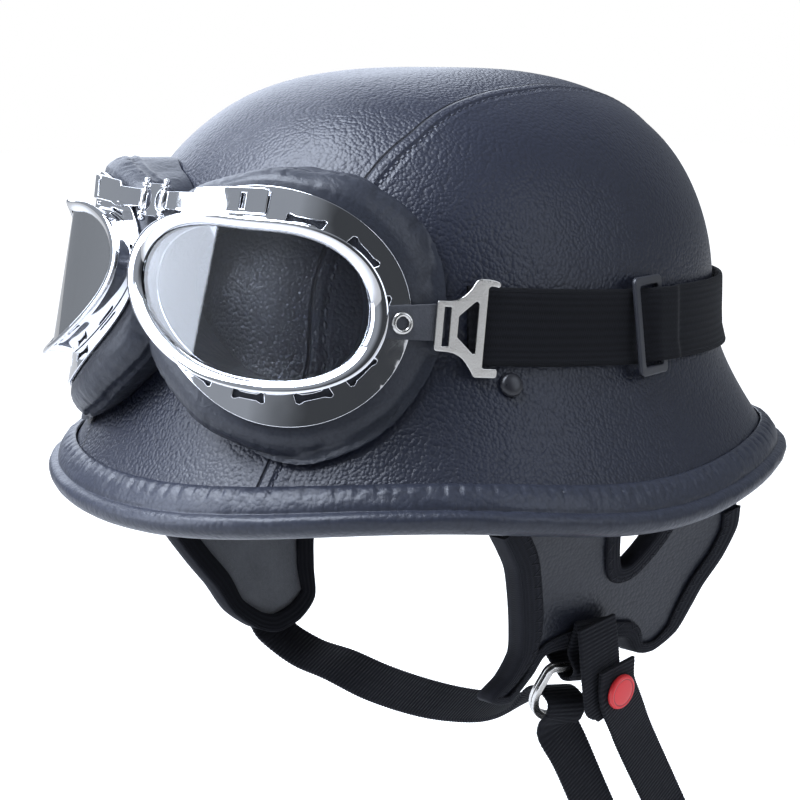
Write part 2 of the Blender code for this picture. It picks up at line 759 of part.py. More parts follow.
slider_turns = [SLIDER_ANGLE + slider_half * share for share in (-0.35, 0.30, 1.12, 1.9)]
strap_turns = [STRAP_START, math.pi - STRAP_START]
facet = 2 * math.pi / SEGMENTS
for i in range(SEGMENTS):
    turn = STRAP_START + facet - STRAP_START % facet + i * facet
    if turn < strap_turns[1] and not slider_turns[0] < turn < slider_turns[-1]:
        strap_turns.append(turn)
strap_turns = sorted(strap_turns + slider_turns)
add_object("goggle_strap", loft([strap_section(t) for t in strap_turns]), "webbing", 60)

# Slider: a flat frame tilted so that the strap runs under its front bar and over its rear bar
turn = SLIDER_ANGLE
middle = strap_middle(turn)
tall = STRAP_WIDTH / 2 + SLIDER_PLAY
frame_half = tall + SLIDER_BAR
foot = helmet_offset(turn, level_at(turn, middle - frame_half), 0)
head = helmet_offset(turn, level_at(turn, middle + frame_half), 0)
rise = (head - foot).normalized()
out = Vector((math.cos(turn), math.sin(turn), 0))
back = rise.cross(out).normalized()
out = back.cross(rise)
front_height = STRAP_SEAT + STRAP_WALL + GAP
rear_height = GAP
tilt = math.atan2(front_height - rear_height, SLIDER_LENGTH - SLIDER_BAR)
run = back * math.cos(tilt) - out * math.sin(tilt)
lift = out * math.cos(tilt) + back * math.sin(tilt)
base = (foot + head) / 2 + out * ((front_height + rear_height) / 2 + SLIDER_EASE)
frame_outline = []
for x, z in [(1, 1), (-1, 1), (-1, -1), (1, -1)]:
    corner = (x * SLIDER_LENGTH / 2, z * frame_half)
    first = (corner[0], corner[1] - z * SLIDER_BAR / 2)
    second = (corner[0] - x * SLIDER_BAR / 2, corner[1])
    frame_outline += [first, second] if x * z > 0 else [second, first]
window = [(x * (SLIDER_LENGTH / 2 - SLIDER_BAR), z * tall) for x, z in [(1, 1), (-1, 1), (-1, -1), (1, -1)]]
slab = lambda out: lambda x, z, depth: base + run * x + rise * z + lift * out
add_object("strap_slider", sheet(frame_outline, [window], slab(SLIDER_WALL), slab(0), 0.05), "plastic")

# Leather tabs, rivets and stamped hooks that hold the strap to the eyepieces
TAB_SEAT = 0.0007
TAB_OUTLINE = [(0.0423, 0.0080), (0.0605, 0.0122), (0.0642, 0.0120), (0.0662, 0.0012), (0.0630, -0.0006), (0.0440, -0.0031)]
RIVET_SPOT = (0.0489, 0.0032)
# Hook outline from the tab's bar to the tips: distance from its front edge, height
HOOK_OUTLINE = [
    (0.0, 8.0), (0.7, 8.7), (5.0, 8.8), (9.5, 10.6), (12.4, 13.8), (14.0, 16.4), (15.2, 17.0), (20.8, 16.6), (22.6, 15.6),
    (22.6, 14.1), (19.4, 14.5), (18.3, 13.4), (18.3, -13.8), (19.2, -14.6), (24.0, -14.6), (24.0, -17.0), (23.0, -17.9),
    (16.0, -17.9), (15.0, -17.0), (12.0, -12.8), (9.0, -10.4), (5.0, -9.2), (0.8, -9.0), (0.0, -8.0),
]
HOOK_SLOT = [(2.7, 6.6), (5.2, 6.6), (5.2, -7.2), (2.7, -7.2)]
HOOK_WINDOW = [(8.2, 3.2), (14.2, 8.8), (15.3, 8.2), (15.3, -9.2), (14.6, -9.6), (8.2, -3.6)]
HOOK_SCALE = 0.001
for side, sign in SIDES.items():
    face = lambda out: lambda u, v, depth: eye_point(sign, u, v, out)
    tab = sheet(split_edges(TAB_OUTLINE, 0.007), [], face(TAB_SEAT + TAB_WALL), face(TAB_SEAT), 0.007)
    add_object("side_tab_" + side, tab, "suede")
    foot = TAB_SEAT + TAB_WALL + GAP
    seat = eye_point(sign, *RIVET_SPOT, foot)
    out = (eye_point(sign, *RIVET_SPOT, 1.0) - seat).normalized()
    up = eye_vectors(sign)[1]
    place = frame_place(seat, up.cross(out), up, out)
    wall = (RIVET_RADIUS + RIVET_BORE) / 2
    profile = [(RIVET_BORE, 0), (RIVET_RADIUS, 0), (wall, 1), (RIVET_BORE, 0.6)]
    profile = [(radius, RIVET_HEIGHT * height) for radius, height in profile]
    add_object("tab_rivet_" + side, turned_ring(profile, 12, place), "nickel", 60)

    bar = eye_point(sign, 0.0622, 0.0050, foot + HOOK_WALL / 2 + 0.0003)
    grip_turn = STRAP_START + math.radians(2.0)
    grip_turn = grip_turn if sign > 0 else math.pi - grip_turn
    strap_height = strap_middle(grip_turn)
    grip = helmet_offset(grip_turn, level_at(grip_turn, strap_height), STRAP_SEAT + STRAP_WALL + GAP + HOOK_WALL)
    run = (grip - bar).normalized()
    rise = Vector((0, 0, 1)) - run * run.z
    rise.normalize()
    lift = run.cross(rise) * sign
    stretch = (grip - bar).length / 15.5
    hook_place = lambda out: lambda a, b, depth: bar + run * (a - 1.3) * stretch + rise * b * HOOK_SCALE + lift * out
    hook = sheet(HOOK_OUTLINE, [HOOK_SLOT, HOOK_WINDOW], hook_place(HOOK_WALL / 2), hook_place(-HOOK_WALL / 2), 50)
    add_object("strap_hook_" + side, hook, "nickel")

# Ear flaps


def flap_reach(forward_lean, along, up):
    """Half width of a flap's leather face: it hangs straight and turns in along the wall."""
    straight = FLAP_HALF_WIDTH + FLAP_LEAN * up + forward_lean * along
    depth = (WAIST_HEIGHT - up) / WAIST_HEIGHT
    flare = max(0.0, depth) ** FLARE_POWER
    half = WAIST_HALF_WIDTH + (RIM_HALF_WIDTH - WAIST_HALF_WIDTH) * flare
    rim, waist = (RIM_FRONT, WAIST_FRONT) if along < 0 else (RIM_BACK, WAIST_BACK)
    length = waist + (rim - waist) * flare
    wall = half * (1 - (abs(along) / length) ** PLAN_POWER) ** (1 / PLAN_POWER)
    wall += (TRIM_IN - TRIM_WALL) * 1.17 - FLAP_TUCK
    soft = 0.0012
    return -soft * math.log(math.exp(-straight / soft) + math.exp(-wall / soft))


# Flap outlines from the front top corner down and round to the rear: along, up, tape share
LEFT_FLAP = [
    (-58, 4, 1), (-54, -8, 1), (-48, -15, 1), (-42, -23, 1), (-36, -36, 1), (-31, -49, 1), (-28, -60, 0.8),
    (-31, -70, 0.45), (-37, -77, 0.3), (-29, -79, 0.3), (-22, -70, 0.4), (-17, -61, 0.6), (0, -60, 0.9),
    (24, -61, 0.7), (33, -69, 0.4), (42, -70, 0.5), (51, -64, 0.8), (55, -54, 1), (58, -45, 1), (64, -34, 1),
    (67, -22, 1), (65, -13, 1), (62, 4, 1),
]
LEFT_HOLE = [(1, -8), (5, -23), (9, -31), (15, -31), (21, -25), (26, -17), (27, -9), (22, -5), (6, -5)]
RIGHT_FLAP = [
    (-64, 4, 1), (-66, -9, 1), (-66, -20, 1), (-61, -35, 1), (-52, -50, 1), (-45, -60, 1), (-39, -71, 0.8),
    (-29, -79, 0.8), (-19, -82, 0.8), (-6, -79, 0.8), (4, -72, 0.8), (7, -60, 1), (12, -46, 1), (24, -38, 1),
    (40, -34, 1), (54, -28, 1), (63, -20, 1), (64, -13, 1), (62, 4, 1),
]
RIGHT_HOLE = [(0, -8), (4, -19), (9, -25), (15, -25), (21, -20), (26, -13), (26, -8), (21, -5), (5, -5)]
FLAPS = {
    "left": (LEFT_FLAP, LEFT_HOLE, 0.1),
    "right": (RIGHT_FLAP, RIGHT_HOLE, 0.0),
}
MILLIMETRE = 0.001
FLAP_SPACING = 0.012
tape_inside = -FLAP_WALL - LINING_SEAT - LINING_WALL - TAPE_SEAT


def tape_sections(path, point, closed, outward):
    """Tape folded over the flap's edge; path rows are along, up and tape share."""
    sections = []
    count = len(path)
    for i, (along, up, share) in enumerate(path):
        before = path[(i - 1) % count] if closed or i > 0 else path[i]
        after = path[(i + 1) % count] if closed or i < count - 1 else path[i]
        runs = []
        for (a, b) in ((before, path[i]), (path[i], after)):
            step = np.array([b[0] - a[0], b[1] - a[1]])
            if step.any():
                runs.append(step / np.linalg.norm(step))
        run = sum(runs) / np.linalg.norm(sum(runs))
        mitre = outward / max(0.5, runs[0] @ run)
        away = (run[1] * mitre, -run[0] * mitre)
        width = TAPE_WIDTH * share
        edge, fold = GAP, GAP + TAPE_WALL
        front, back = TAPE_SEAT, tape_inside
        rows = [
            (-width, front), (-width, front + TAPE_WALL), (fold, front + TAPE_WALL), (fold, back - TAPE_WALL),
            (-width, back - TAPE_WALL), (-width, back), (edge, back), (edge, front),
        ]
        sections.append([point(along + away[0] * reach, up + away[1] * reach, out) for reach, out in rows])
    return sections


for side, sign in SIDES.items():
    outline, hole, forward_lean = FLAPS[side]
    path = [(a * MILLIMETRE, u * MILLIMETRE, s) for a, u, s in outline]
    opening = [(a * MILLIMETRE, u * MILLIMETRE, 0.7) for a, u in hole]
    flap_point = lambda along, up, out: Vector((sign * (flap_reach(forward_lean, along, up) + out), along, up))
    front = lambda along, up, depth: flap_point(along, up, 0)
    back = lambda along, up, depth: flap_point(along, up, -FLAP_WALL)
    edge = split_edges([row[:2] for row in path], 2 * FLAP_SPACING)
    hole_edge = [row[:2] for row in opening]
    add_object("ear_flap_" + side, sheet(edge, [hole_edge], front, back, FLAP_SPACING), "leather", 60)

    lining_face = -FLAP_WALL - LINING_SEAT
    front = lambda along, up, depth: flap_point(along, up, lining_face)
    back = lambda along, up, depth: flap_point(along, up, lining_face - LINING_WALL)
    add_object("flap_lining_" + side, sheet(edge, [hole_edge], front, back, FLAP_SPACING), "plush", 60)
    add_object("flap_tape_" + side, loft(tape_sections(path[1:-1], flap_point, False, 1)), "webbing", 50)
    add_object("hole_tape_" + side, loft(tape_sections(opening, flap_point, True, -1), True), "webbing", 50)

# D-rings, in the plane of their bar and hang
RING_FACE = RING_BAR_ALONG.cross(RING_HANG).normalized()


def ring_frame(along, hang, through):
    return RING_BAR_CENTRE + RING_BAR_ALONG * along + RING_HANG * hang + RING_FACE * through


def d_outline(grow):
    """A straight bar, two short sides and a half-round bow."""
    reach = D_HALF_WIDTH + grow
    points = [(-reach, -grow)]
    for i in range(13):
        a = math.pi * i / 12
        points.append((-reach * math.cos(a), D_SIDE + reach * math.sin(a)))
    points.append((reach, -grow))
    return points


ring_spacing = D_WALL + GAP
for name, shift in {"d_ring_outer": -ring_spacing / 2, "d_ring_inner": ring_spacing / 2}.items():
    sections = []
    inner, outer = d_outline(-D_BAND / 2), d_outline(D_BAND / 2)
    for (ia, ih), (oa, oh) in zip(inner, outer):
        low, high = shift - D_WALL / 2, shift + D_WALL / 2
        sections.append([ring_frame(ia, ih, low), ring_frame(ia, ih, high), ring_frame(oa, oh, high), ring_frame(oa, oh, low)])
    add_object(name, loft(sections, True), "nickel")


def ribbon(path, width, wall, shares=None):
    """A flat strap along path rows of point and width direction; shares narrow it row by row."""
    sections = []
    for i, (point, across) in enumerate(path):
        reach = width / 2 * (shares[i] if shares else 1)
        before = path[max(i - 1, 0)][0]
        after = path[min(i + 1, len(path) - 1)][0]
        run = (after - before).normalized()
        across = (across - run * across.dot(run)).normalized()
        lift = run.cross(across)
        corners = [(-1, -1), (1, -1), (1, 1), (-1, 1)]
        sections.append([point + across * a * reach + lift * b * wall / 2 for a, b in corners])
    return loft(sections)


def ribbon_path(rows, steps):
    """Smooth rows of x, y, z in millimetres and the width's direction."""
    path = []
    for row in smooth_path(rows, steps):
        path.append((Vector(row[:3]) * MILLIMETRE, Vector(row[3:])))
    return path


# Webbing loop that holds the D-rings: it passes under both bars and is sewn to each face of the flap
clear = D_WALL + GAP + WEBBING_WALL + 0.0011
left_lean = FLAPS["left"][2]
loop_middle = 0.0015
loop_rows = []
for up, out in [(-0.050, 0.0032), (-0.057, 0.0034), (-0.063, 0.0038)]:
    loop_rows.append((flap_reach(left_lean, loop_middle, up) + out, up))
for degrees in (10, -30, -70, -110, -150):
    a = math.radians(degrees)
    loop_rows.append((RING_BAR_CENTRE.x + clear * math.cos(a), RING_BAR_CENTRE.z - 0.0006 + clear * math.sin(a)))
for up, out in [(-0.064, -0.0088), (-0.057, -0.0091), (-0.050, -0.0091)]:
    loop_rows.append((flap_reach(left_lean, loop_middle, up) + out, up))
loop_path = [(Vector((x, loop_middle, z)), RING_BAR_ALONG) for x, z in smooth_path(loop_rows, 2)]
add_object("d_ring_loop", ribbon(loop_path, WEBBING_WIDTH, WEBBING_WALL), "webbing", 60)

# Chin strap: from the right flap under the chin, through the D-rings, down and back up to the snap.
# x, y, z in millimetres, then the direction across the webbing
CHIN_ROUTE = [
    (-88.4, -19, -58, 0, 1, 0), (-85.4, -18, -67, 0, 1, 0), (-82.9, -16, -76, 0, 1, 0), (-79.6, -12, -86, 0, 1, 0.1),
    (-67, -6, -94, 0, 0.95, 0.3), (-50, -2, -97, 0, 0.9, 0.42), (-30, 1, -101, 0, 0.86, 0.5), (-6, 2, -102, 0, 0.86, 0.5),
    (15, 3, -101, 0, 0.88, 0.46), (38, 3, -97, 0, 0.92, 0.38), (56, 1, -90, 0, 0.97, 0.2),
]
path = ribbon_path(CHIN_ROUTE, 2)
# Through the rings: hang from the bar, distance off the rings' middle plane
RING_PASS = [(0.0190, 0.0085), (0.0155, 0.0045), (0.0148, 0.0), (0.0158, -0.0040), (0.0205, -0.0058), (0.0260, -0.0058)]
rows = [(*(ring_frame(0, hang, through) / MILLIMETRE), *RING_BAR_ALONG) for hang, through in RING_PASS]
# The free end hangs, turns and climbs to the snap
SNAP_SPOT = Vector((0.0948, 0.0112, -0.0790))
SNAP_TIP = Vector((0.0965, 0.0090, -0.0685))
FREE_END = [
    (78, 4, -107, 0, 0.95, 0.3), (78.5, 15.5, -128.6, 0, 0.88, 0.48), (78, 23, -142, 0.12, 0.86, 0.5),
    (77, 31, -155, 0.5, 0.7, 0.4), (79, 43, -162, 1, 0.1, 0.05), (83, 54, -155, 0.6, 0.66, 0.38),
    (85, 56, -146, 0.2, 0.86, 0.5), (86, 50.9, -135.6, 0, 0.86, 0.5), (89.2, 29.8, -105.3, 0, 0.9, 0.4),
    (92, 19.7, -91, 0, 0.95, 0.25), (*(SNAP_SPOT / MILLIMETRE), 0, 0.98, 0.15), (*(SNAP_TIP / MILLIMETRE), 0, 0.98, 0.15),
]
rows = [CHIN_ROUTE[-1], *rows, *FREE_END]
path = path[:-1] + ribbon_path(rows, 2)
add_object("chin_strap", ribbon(path, WEBBING_WIDTH, WEBBING_WALL), "webbing", 60)

# Snap tab sewn over the loop, and the button on the strap's end
TAB_ROUTE = [
    (95.1, -1.5, -50, 0, 1, 0), (95.2, -0.2, -58, 0, 1, 0), (94.0, 2.3, -68, 0, 1, 0.1), (91.9, 6.0, -79, 0, 0.97, 0.25),
    (90.3, 9.4, -90, 0, 0.95, 0.3),
]
tab_path = ribbon_path(TAB_ROUTE, 3)
end = len(tab_path) - 1
tab_shares = [min(1.0, 0.45 + 0.28 * (end - i)) for i in range(end + 1)]
add_object("snap_tab", ribbon(tab_path, 1.05 * WEBBING_WIDTH, WEBBING_WALL, tab_shares), "webbing", 60)

run = (SNAP_TIP - SNAP_SPOT).normalized()
across = Vector((0, 0.98, 0.15))
across = (across - run * across.dot(run)).normalized()
out = across.cross(run)
seat = SNAP_SPOT + out * (WEBBING_WALL / 2 + 1.4 * GAP)
profile = [(0.94, 0), (1, 0.3), (0.97, 0.7), (0.85, 0.93), (0, 1)]
profile = [(BUTTON_RADIUS * radius, BUTTON_HEIGHT * height) for radius, height in profile]
add_object("snap_button", turned(profile, 16, frame_place(seat, across, run, out)), "red", 60)
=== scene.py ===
from functools import partial
from math import acos, atan2, cos, exp, hypot, log, pi, radians, sin, sqrt

import bmesh
import bpy
import numpy as np
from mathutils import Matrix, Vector, noise


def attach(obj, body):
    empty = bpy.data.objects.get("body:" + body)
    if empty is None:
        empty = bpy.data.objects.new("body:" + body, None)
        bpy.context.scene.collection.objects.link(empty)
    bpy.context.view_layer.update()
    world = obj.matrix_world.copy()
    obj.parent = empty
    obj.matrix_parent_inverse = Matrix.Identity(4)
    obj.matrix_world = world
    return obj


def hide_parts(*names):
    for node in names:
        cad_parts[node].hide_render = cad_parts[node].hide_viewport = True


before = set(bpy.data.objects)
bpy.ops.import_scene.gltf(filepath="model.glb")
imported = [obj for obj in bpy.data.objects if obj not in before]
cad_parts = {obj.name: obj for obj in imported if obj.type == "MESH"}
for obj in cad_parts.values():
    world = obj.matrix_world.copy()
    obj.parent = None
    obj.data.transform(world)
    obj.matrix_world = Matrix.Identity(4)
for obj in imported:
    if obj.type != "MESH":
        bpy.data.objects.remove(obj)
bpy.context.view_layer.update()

# Camera and studio: the photograph's view, from the wearer's front left and a little above. Soft
# lights stand over the brow, ahead, far behind and at the left, with a card that only the chrome
# mirrors, on a pale sweep that the camera sees as plain white.


def new_object(name, data):
    made = bpy.data.objects.new(name, data)
    bpy.context.scene.collection.objects.link(made)
    return made


camera_data = bpy.data.cameras.new("photo_camera")
camera_data.lens = 103.56
camera_data.sensor_width = 36.0
camera_data.clip_end = 20.0
camera = new_object("photo_camera", camera_data)
camera.location = (0.65789, -0.63376, 0.17744)
aim = Vector((-0.00251, -0.01143, 0.02435)) - camera.location
camera.rotation_euler = aim.to_track_quat("-Z", "Y").to_euler()
bpy.context.scene.camera = camera


# Each light's name, place, width and height, and watts
LIGHTS = [
    ("softbox_top", (-0.25, -0.60, 1.17), (1.30, 1.00), 54),
    ("softbox_left", (1.30, 0.45, 0.60), (0.70, 1.10), 5),
    ("softbox_front", (-0.60, -1.20, 0.85), (0.90, 0.80), 20),
    ("softbox_far", (-1.24, 0.50, 0.62), (1.30, 0.90), 11),
    ("reflector_card", (-0.72, -1.32, 0.42), (1.04, 1.3), 22),
]
LIGHT_AIM = Vector((0, 0, 0.03))
for name, place, size, watts in LIGHTS:
    data = bpy.data.lights.new(name, "AREA")
    data.shape = "RECTANGLE"
    data.size, data.size_y = size
    data.energy = watts
    data.color = (0.80, 0.87, 1.0)
    light = new_object(name, data)
    light.location = place
    light.rotation_euler = (LIGHT_AIM - Vector(place)).to_track_quat("-Z", "Y").to_euler()
bpy.data.objects["softbox_front"].visible_glossy = False
bpy.data.objects["reflector_card"].visible_diffuse = False


def set_inputs(node, **values):
    for label, value in values.items():
        node.inputs[label.replace("_", " ")].default_value = value


def new_node(tree, kind, operation=None, **values):
    """A shader node with its operation and the values of its inputs."""
    node = tree.nodes.new("ShaderNode" + kind)
    if operation:
        node.operation = operation
    set_inputs(node, **values)
    return node


def wire(tree, *links):
    """Each link is a source, a node and its input; a node as a source stands for its first output."""
    for source, target, label in links:
        if isinstance(source, bpy.types.Node):
            source = source.outputs[0]
        tree.links.new(source, target.inputs[label])


def math_node(tree, operation, *values):
    node = new_node(tree, "Math", operation)
    for i, value in enumerate(values):
        if isinstance(value, (int, float)):
            node.inputs[i].default_value = value
        else:
            wire(tree, (value, node, i))
    return node.outputs[0]


def start_paint(name, colour, roughness, metallic=0.0):
    """A new material with its Principled shader, ready for its own pattern."""
    paint = bpy.data.materials.new(name)
    paint.use_nodes = True
    shader = paint.node_tree.nodes["Principled BSDF"]
    set_inputs(shader, Base_Color=(*colour, 1), Roughness=roughness, Metallic=metallic)
    return paint, paint.node_tree, shader


# The room is brighter overhead; gloss mirrors an even room with a dark opening at the left
world = bpy.data.worlds.new("studio")
world.use_nodes = True
tree = world.node_tree
ROOM_COLOUR = (0.82, 0.89, 1.0, 1)
room = tree.nodes["Background"]
set_inputs(room, Color=ROOM_COLOUR)
mirrored = new_node(tree, "Background", Color=ROOM_COLOUR)
white = new_node(tree, "Background", Color=(1.0, 1.0, 1.0, 1), Strength=1.0)
direction = new_node(tree, "TexCoord").outputs["Generated"]
heights = new_node(tree, "SeparateXYZ")
overhead = new_node(tree, "MapRange", From_Min=-0.15, From_Max=0.9, To_Min=0.26, To_Max=0.75)
towards = new_node(tree, "VectorMath", "DOT_PRODUCT")
towards.inputs[1].default_value = (0.978, -0.208, 0.0)
opening = new_node(tree, "MapRange", From_Min=0.55, From_Max=0.85, To_Min=0.36, To_Max=0.06)
seen = new_node(tree, "LightPath")
gloss = new_node(tree, "MixShader")
plain = new_node(tree, "MixShader")
wire(
    tree,
    (direction, heights, "Vector"), (heights.outputs["Z"], overhead, "Value"), (overhead, room, "Strength"),
    (direction, towards, 0), (towards.outputs["Value"], opening, "Value"), (opening, mirrored, "Strength"),
    (seen.outputs["Is Glossy Ray"], gloss, "Fac"), (room, gloss, 1), (mirrored, gloss, 2),
    (seen.outputs["Is Camera Ray"], plain, "Fac"), (gloss, plain, 1), (white, plain, 2),
    (plain, tree.nodes["World Output"], "Surface"),
)
bpy.context.scene.world = world
bpy.context.scene.view_settings.view_transform = "Standard"


def pick(piece):
    """Make a piece the one that Blender's operators work on."""
    bpy.ops.object.select_all(action="DESELECT")
    piece.select_set(True)
    bpy.context.view_layer.objects.active = piece


SWEEP_HEIGHT, SWEEP_SIZE, SWEEP_MIRRORED = -0.30, 12, 0.40
bpy.ops.object.select_all(action="DESELECT")
bpy.ops.mesh.primitive_plane_add(size=SWEEP_SIZE, location=(0, 0, SWEEP_HEIGHT))
sweep = bpy.context.object
sweep.name = "studio_floor"
sweep_paint, tree, shader = start_paint("floor_paint", (0.35, 0.36, 0.38), 0.9)
set_inputs(shader, Emission_Color=(1.0, 1.0, 1.0, 1))
seen = new_node(tree, "LightPath")
lit = math_node(
    tree, "MULTIPLY_ADD", seen.outputs["Is Glossy Ray"], SWEEP_MIRRORED, seen.outputs["Is Camera Ray"]
)
wire(tree, (lit, shader, "Emission Strength"))
sweep.data.materials.append(sweep_paint)

# Leather cover: three panels of blue-black pebbled leather stretched over the shell, drawn as one
# skin. The side panels' edges stand proud at the seams and are topstitched 5 mm in, with painted
# shade darkening the gap between them.
SIDES = {"left": 1, "right": -1}
RIM_HALF_WIDTH, RIM_FRONT, RIM_BACK = 0.129, 0.1513, 0.1519
WAIST_HALF_WIDTH, WAIST_FRONT, WAIST_BACK = 0.1038, 0.1224, 0.1213
WAIST_HEIGHT, CROWN_TOP, RIM_WAVE, REAR_FULLNESS = 0.0591, 0.1561, 0.0036, 0.002
PLAN_POWER, CROWN_SIDE_POWER, CROWN_RISE_POWER, FLARE_POWER = 2.16, 2.85, 2.21, 1.47
NUDGE = 0.001


def plan_radius(turn, side, front, back):
    along = front if sin(turn) < 0 else back
    flat = (abs(cos(turn)) / side) ** PLAN_POWER + (abs(sin(turn)) / along) ** PLAN_POWER
    return flat ** (-1 / PLAN_POWER)


def rim_height(turn):
    wave = 0.05 * sin(turn) + 0.55 * cos(2 * turn) + 0.16 * sin(3 * turn) + cos(4 * turn)
    return -RIM_WAVE * wave


def round_point(turn, radius, height):
    return Vector((radius * cos(turn), radius * sin(turn), height))


def helmet_point(turn, level):
    """Outer leather surface: level 1 is the apex, 0 the waist, -1 the rim."""
    waist = plan_radius(turn, WAIST_HALF_WIDTH, WAIST_FRONT, WAIST_BACK)
    if level >= 0:
        lean = (1 - level) * pi / 2
        radius = waist * sin(lean) ** (2 / CROWN_SIDE_POWER)
        radius += REAR_FULLNESS * max(0.0, sin(turn)) * sin(2 * lean)
        rise = max(0.0, cos(lean)) ** (2 / CROWN_RISE_POWER)
        height = WAIST_HEIGHT + (CROWN_TOP - WAIST_HEIGHT) * rise
    else:
        rim = plan_radius(turn, RIM_HALF_WIDTH, RIM_FRONT, RIM_BACK)
        radius = waist + (rim - waist) * (-level) ** FLARE_POWER
        height = WAIST_HEIGHT + (WAIST_HEIGHT - rim_height(turn)) * level
    return round_point(turn, radius, height)


def helmet_offset(turn, level, out):
    """A point off the leather surface along its normal."""
    here = helmet_point(turn, level)
    if level >= 1:
        return here + Vector((0, 0, out))
    along = helmet_point(turn + NUDGE, level) - helmet_point(turn - NUDGE, level)
    above, below = min(level + NUDGE, 0.9999), max(level - NUDGE, -1)
    rising = helmet_point(turn, above) - helmet_point(turn, below)
    return here + along.cross(rising).normalized() * out


def level_at(turn, height):
    if height < WAIST_HEIGHT:
        return -(WAIST_HEIGHT - height) / (WAIST_HEIGHT - rim_height(turn))
    rise = min(1.0, (height - WAIST_HEIGHT) / (CROWN_TOP - WAIST_HEIGHT))
    return 1 - acos(rise ** (CROWN_RISE_POWER / 2)) * 2 / pi


SEAM_SHARES = [-1.25, -0.83, -0.70, -0.58, -0.41, -0.14, 0.0, 0.36, 0.73, 1.25]
SEAM_WIDTHS = [0.511, 0.501, 0.515, 0.549, 0.557, 0.520, 0.501, 0.434, 0.395, 0.385]


def seam_distance(point):
    """Rough distance along the leather from the nearest seam, growing towards the side panel."""
    half = float(np.interp(point.y / RIM_BACK, SEAM_SHARES, SEAM_WIDTHS)) * WAIST_HALF_WIDTH
    flat = abs(point.x) - half
    slope = atan2(abs(point.x), max(0.02, point.z + 0.05)) if point.z > WAIST_HEIGHT else 0.0
    return flat / max(0.45, cos(slope))


def uneven(*place):
    return noise.noise(Vector(place))


def edit(piece, change):
    """Run one change on a piece's mesh."""
    bm = bmesh.new()
    bm.from_mesh(piece.data)
    change(bm)
    bm.to_mesh(piece.data)
    bm.free()


def weld(bm, distance=0.00001, fill=False):
    """Close the seam where a grid meets itself, or its open ends, and point its faces outwards."""
    bmesh.ops.remove_doubles(bm, verts=bm.verts, dist=distance)
    bmesh.ops.dissolve_degenerate(bm, edges=bm.edges, dist=distance / 10)
    if fill:
        bmesh.ops.holes_fill(bm, edges=[e for e in bm.edges if e.is_boundary])
    bmesh.ops.recalc_face_normals(bm, faces=bm.faces)


def smooth(piece, angle=50):
    pick(piece)
    bpy.ops.object.shade_smooth_by_angle(angle=radians(angle), keep_sharp_edges=False)


def grid_piece(name, across, along, place, join=0.00001, angle=50, wide=1.0, tall=1.0, fill=False):
    """A grid primitive whose corners are set out by place(u, v), u and v from 0 to 1.

    Its UV map holds lengths in metres, wide across and tall along, for weaves and stitches.
    """
    bpy.ops.object.select_all(action="DESELECT")
    bpy.ops.mesh.primitive_grid_add(x_subdivisions=across, y_subdivisions=along, size=1.0, location=(0, 0, 0))
    piece = bpy.context.object
    piece.name = piece.data.name = name
    spots = [tuple(place(vertex.co.x + 0.5, vertex.co.y + 0.5)) for vertex in piece.data.vertices]
    piece.data.vertices.foreach_set("co", np.array(spots, dtype=np.float32).ravel())
    uv = piece.data.uv_layers.active
    held = np.empty(len(uv.data) * 2)
    uv.data.foreach_get("uv", held)
    uv.data.foreach_set("uv", (held.reshape(-1, 2) * (wide, tall)).ravel())
    piece.data.update()
    edit(piece, lambda bm: weld(bm, join, fill))
    smooth(piece, angle)
    return piece


def modify(piece, kind, **settings):
    pick(piece)
    step = piece.modifiers.new(kind, kind)
    for label, value in settings.items():
        setattr(step, label, value)
    bpy.ops.object.modifier_apply(modifier=step.name)


def solid_wall(piece, wall):
    """Give a one-faced piece its thickness, inwards."""
    modify(piece, "SOLIDIFY", thickness=wall, offset=-1, use_even_offset=False)
    smooth(piece)


def finish_piece(piece, paint, slot, *nodes):
    """Give a piece its finish, and let it ride on the helmet in place of its CAD nodes."""
    piece.data.materials.clear()
    piece.data.materials.append(paint)
    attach(piece, "root")
    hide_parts(*nodes)


def new_group(name, outputs, **inputs):
    """An empty shader node group; an input without a number is a vector."""
    group = bpy.data.node_groups.new(name, "ShaderNodeTree")
    for label, value in inputs.items():
        kind = "NodeSocketVector" if value is None else "NodeSocketFloat"
        socket = group.interface.new_socket(name=label, in_out="INPUT", socket_type=kind)
        if value is not None:
            socket.default_value = value
    for label in outputs:
        group.interface.new_socket(name=label, in_out="OUTPUT", socket_type="NodeSocketFloat")
    return group, group.nodes.new("NodeGroupInput").outputs, group.nodes.new("NodeGroupOutput")


def noise_node(tree, scale, vector=None, **values):
    """Noise at the piece's own coordinates, or at a given vector."""
    node = new_node(tree, "TexNoise", Scale=scale, **values)
    wire(tree, (vector or new_node(tree, "TexCoord").outputs["Object"], node, "Vector"))
    return node


# Pebbled leather: rounded cells divided by fine creases, at two sizes, with slow tone changes
leather_grain, held, given = new_group(
    "leather_grain", ["Height", "Tone"], Vector=None, Cell=420.0, Crease=1.0
)
calc = partial(math_node, leather_grain)
warp = noise_node(leather_grain, 90.0, held["Vector"])
coarse = noise_node(leather_grain, 26.0, held["Vector"], Detail=3.0)
fine = noise_node(leather_grain, 900.0, held["Vector"])
bent = new_node(leather_grain, "VectorMath", "MULTIPLY_ADD")
bent.inputs[1].default_value = (0.0025, 0.0025, 0.0025)
cells = new_node(leather_grain, "TexVoronoi")
cells.feature = "SMOOTH_F1"
set_inputs(cells, Smoothness=0.25)
wire(leather_grain, (warp.outputs["Color"], bent, 0), (held["Vector"], bent, 2))
wire(leather_grain, (bent, cells, "Vector"), (held["Cell"], cells, "Scale"))
dome = calc("SUBTRACT", 1.0, calc("POWER", cells.outputs["Distance"], 1.6))
pebble = calc("ADD", calc("MULTIPLY", dome, held["Crease"]), calc("MULTIPLY", fine, 0.25))
